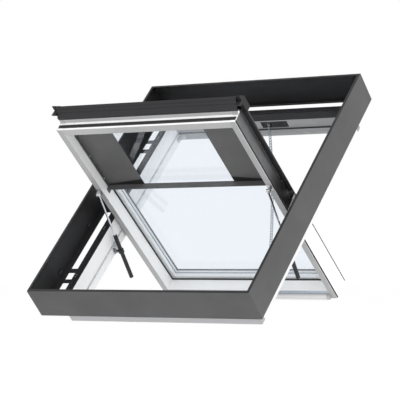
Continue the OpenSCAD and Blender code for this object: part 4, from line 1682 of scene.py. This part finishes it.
    def lips(self) -> None:
        """Draws the sash's round seals, the wing's ribs and the filter's slats."""
        s, reach = self.end_bulb_s, self.end_bulb_reach
        ends = [cross_line(s, reach, n) for n in self.end_bulb_rows]
        self.draw_lips("end_gasket_bulbs", self.end_bulb, ends)
        x, reach, n = self.side_bulb_x, self.side_bulb_reach, self.side_bulb_n
        sides = [up_line(m * x, reach, n) for m in SIDES]
        self.draw_lips("side_gasket_bulbs", self.side_bulb, sides)
        x, n = self.glazing_x, self.glazing_n
        low, high = self.glazing_ends
        glazing = [cross_line(s, x, n) for s in (low, high)]
        glazing += [((m * x, low, n), (m * x, high, n)) for m in SIDES]
        self.draw_lips("glazing_lip", self.glazing_lip, glazing)
        reach = self.wing_rib_reach
        ribs = [cross_line(s, reach, n) for s, n in self.wing_rib_rows]
        paint = ("cladding_paint", CASING_DARK)
        self.draw_lips("wing_ribs", self.wing_rib, ribs, *paint)
        low, high = self.slat_ends
        n = self.slat_n
        slats = [((x, low, n), (x, high, n)) for x in self.slat_row]
        self.draw_lips("vent_slats", self.slat, slats, "vent_mesh", FILTER)


@dataclass
class VentFlap(Assembly):
    """Ventilation flap on the sash, with its two end caps."""

    body: ClassVar[Body] = Body.FLAP
    coats: ClassVar[tuple[Coat, ...]] = (
        # Both finishes are white lacquer greyed as painted shade.
        Coat(("vent_flap",), FLAP_SHADED_WHITE, "flap_lacquer", Edge.MOULDING),
        Coat(("flap_caps",), CAP_SHADED_WHITE, "flap_plastic", Edge.MOULDING),
    )


# ---------------------------------------------------------------- stays


@dataclass
class SideStays:
    """Telescopic stays beside the sash: collar, tube and rod on each side."""

    parts: ClassVar[tuple[tuple[str, Finish, str], ...]] = (
        ("collar", STAY_BLACK, "stay_dark"),
        ("tube", STAY_BLACK, "stay_dark"),
        ("rod", ROD_CHROME, "rod_steel"),
    )

    def dress(self) -> None:
        """Dresses each part, which is a rigid body of its own."""
        for side in ("left", "right"):
            for part, finish, slot in self.parts:
                node = f"stay_{part}_{side}"
                Coat((node,), finish, slot, Edge.SOFT).lay(node)


# ---------------------------------------------------------------- studio


@dataclass
class Studio:
    """Pale floor, soft light and the camera, in metres, watts and millimetres."""

    eye: Point3 = (4.3102, -6.4823, 0.2227)
    forward: Point3 = (-0.5381, 0.8421, 0.0348)
    lens: float = 170.0
    sensor: float = 36.0
    clip: Point2 = (0.1, 200.0)
    floor_level: float = -0.55
    floor_radius: float = 60.0
    sky: float = 1.0
    lamp_spot: Point3 = (5.0, -4.0, 5.5)
    lamp_aim: Point3 = (0.0, 0.35, 0.5)
    lamp_size: float = 4.0
    lamp_power: float = 220.0

    def build(self) -> None:
        """Builds the studio."""
        scene = bpy.context.scene
        scene.view_settings.view_transform = "Standard"
        world = bpy.data.worlds.new("studio")
        scene.world = world
        world.use_nodes = True
        back = world.node_tree.nodes["Background"]
        back.inputs["Color"].default_value = (1.0, 1.0, 1.0, 1.0)
        back.inputs["Strength"].default_value = self.sky
        self.floor()
        self.lamp()
        self.camera()

    def floor(self) -> None:
        """Lays a round floor below the window."""
        bm = bmesh.new()
        bmesh.ops.create_circle(
            bm,
            cap_ends=True,
            segments=96,
            radius=self.floor_radius,
            matrix=Matrix.Translation((0, 0, self.floor_level)),
        )
        mesh = bpy.data.meshes.new("floor")
        bm.to_mesh(mesh)
        bm.free()
        floor = bpy.data.objects.new("floor", mesh)
        mesh.materials.append(FLOOR.material())
        bpy.context.scene.collection.objects.link(floor)

    def hang(self, data: ID, spot: Point3, way: Vector) -> Object:
        """Places a lamp or the camera.

        Args:
            data: Its data, which gives it its name.
            spot: Where it hangs.
            way: Direction that it faces.

        Returns:
            The placed object.
        """
        item = bpy.data.objects.new(data.name, data)
        bpy.context.scene.collection.objects.link(item)
        item.location = spot
        item.rotation_mode = "QUATERNION"
        item.rotation_quaternion = way.to_track_quat("-Z", "Y")
        return item

    def lamp(self) -> None:
        """Hangs one soft square lamp."""
        data = bpy.data.lights.new("key", "AREA")
        data.size = self.lamp_size
        data.energy = self.lamp_power
        way = Vector(self.lamp_aim) - Vector(self.lamp_spot)
        self.hang(data, self.lamp_spot, way)

    def camera(self) -> None:
        """Sets up the camera."""
        data = bpy.data.cameras.new("camera")
        data.lens = self.lens
        data.sensor_width = self.sensor
        data.clip_start, data.clip_end = self.clip
        camera = self.hang(data, self.eye, Vector(self.forward))
        bpy.context.scene.camera = camera


def main() -> None:
    """Builds every sub-assembly."""
    logging.basicConfig(level=logging.INFO, format="%(message)s")
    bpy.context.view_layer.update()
    TREES.update(fixing=fixing_tree(), chain=chain_tree(), lip=lip_tree())
    Studio().build()
    DeflectorRing().build()
    WindowFrame().build()
    GlazedSash().build()
    VentFlap().dress()
    SideStays().dress()


if __name__ == "__main__":
    main()
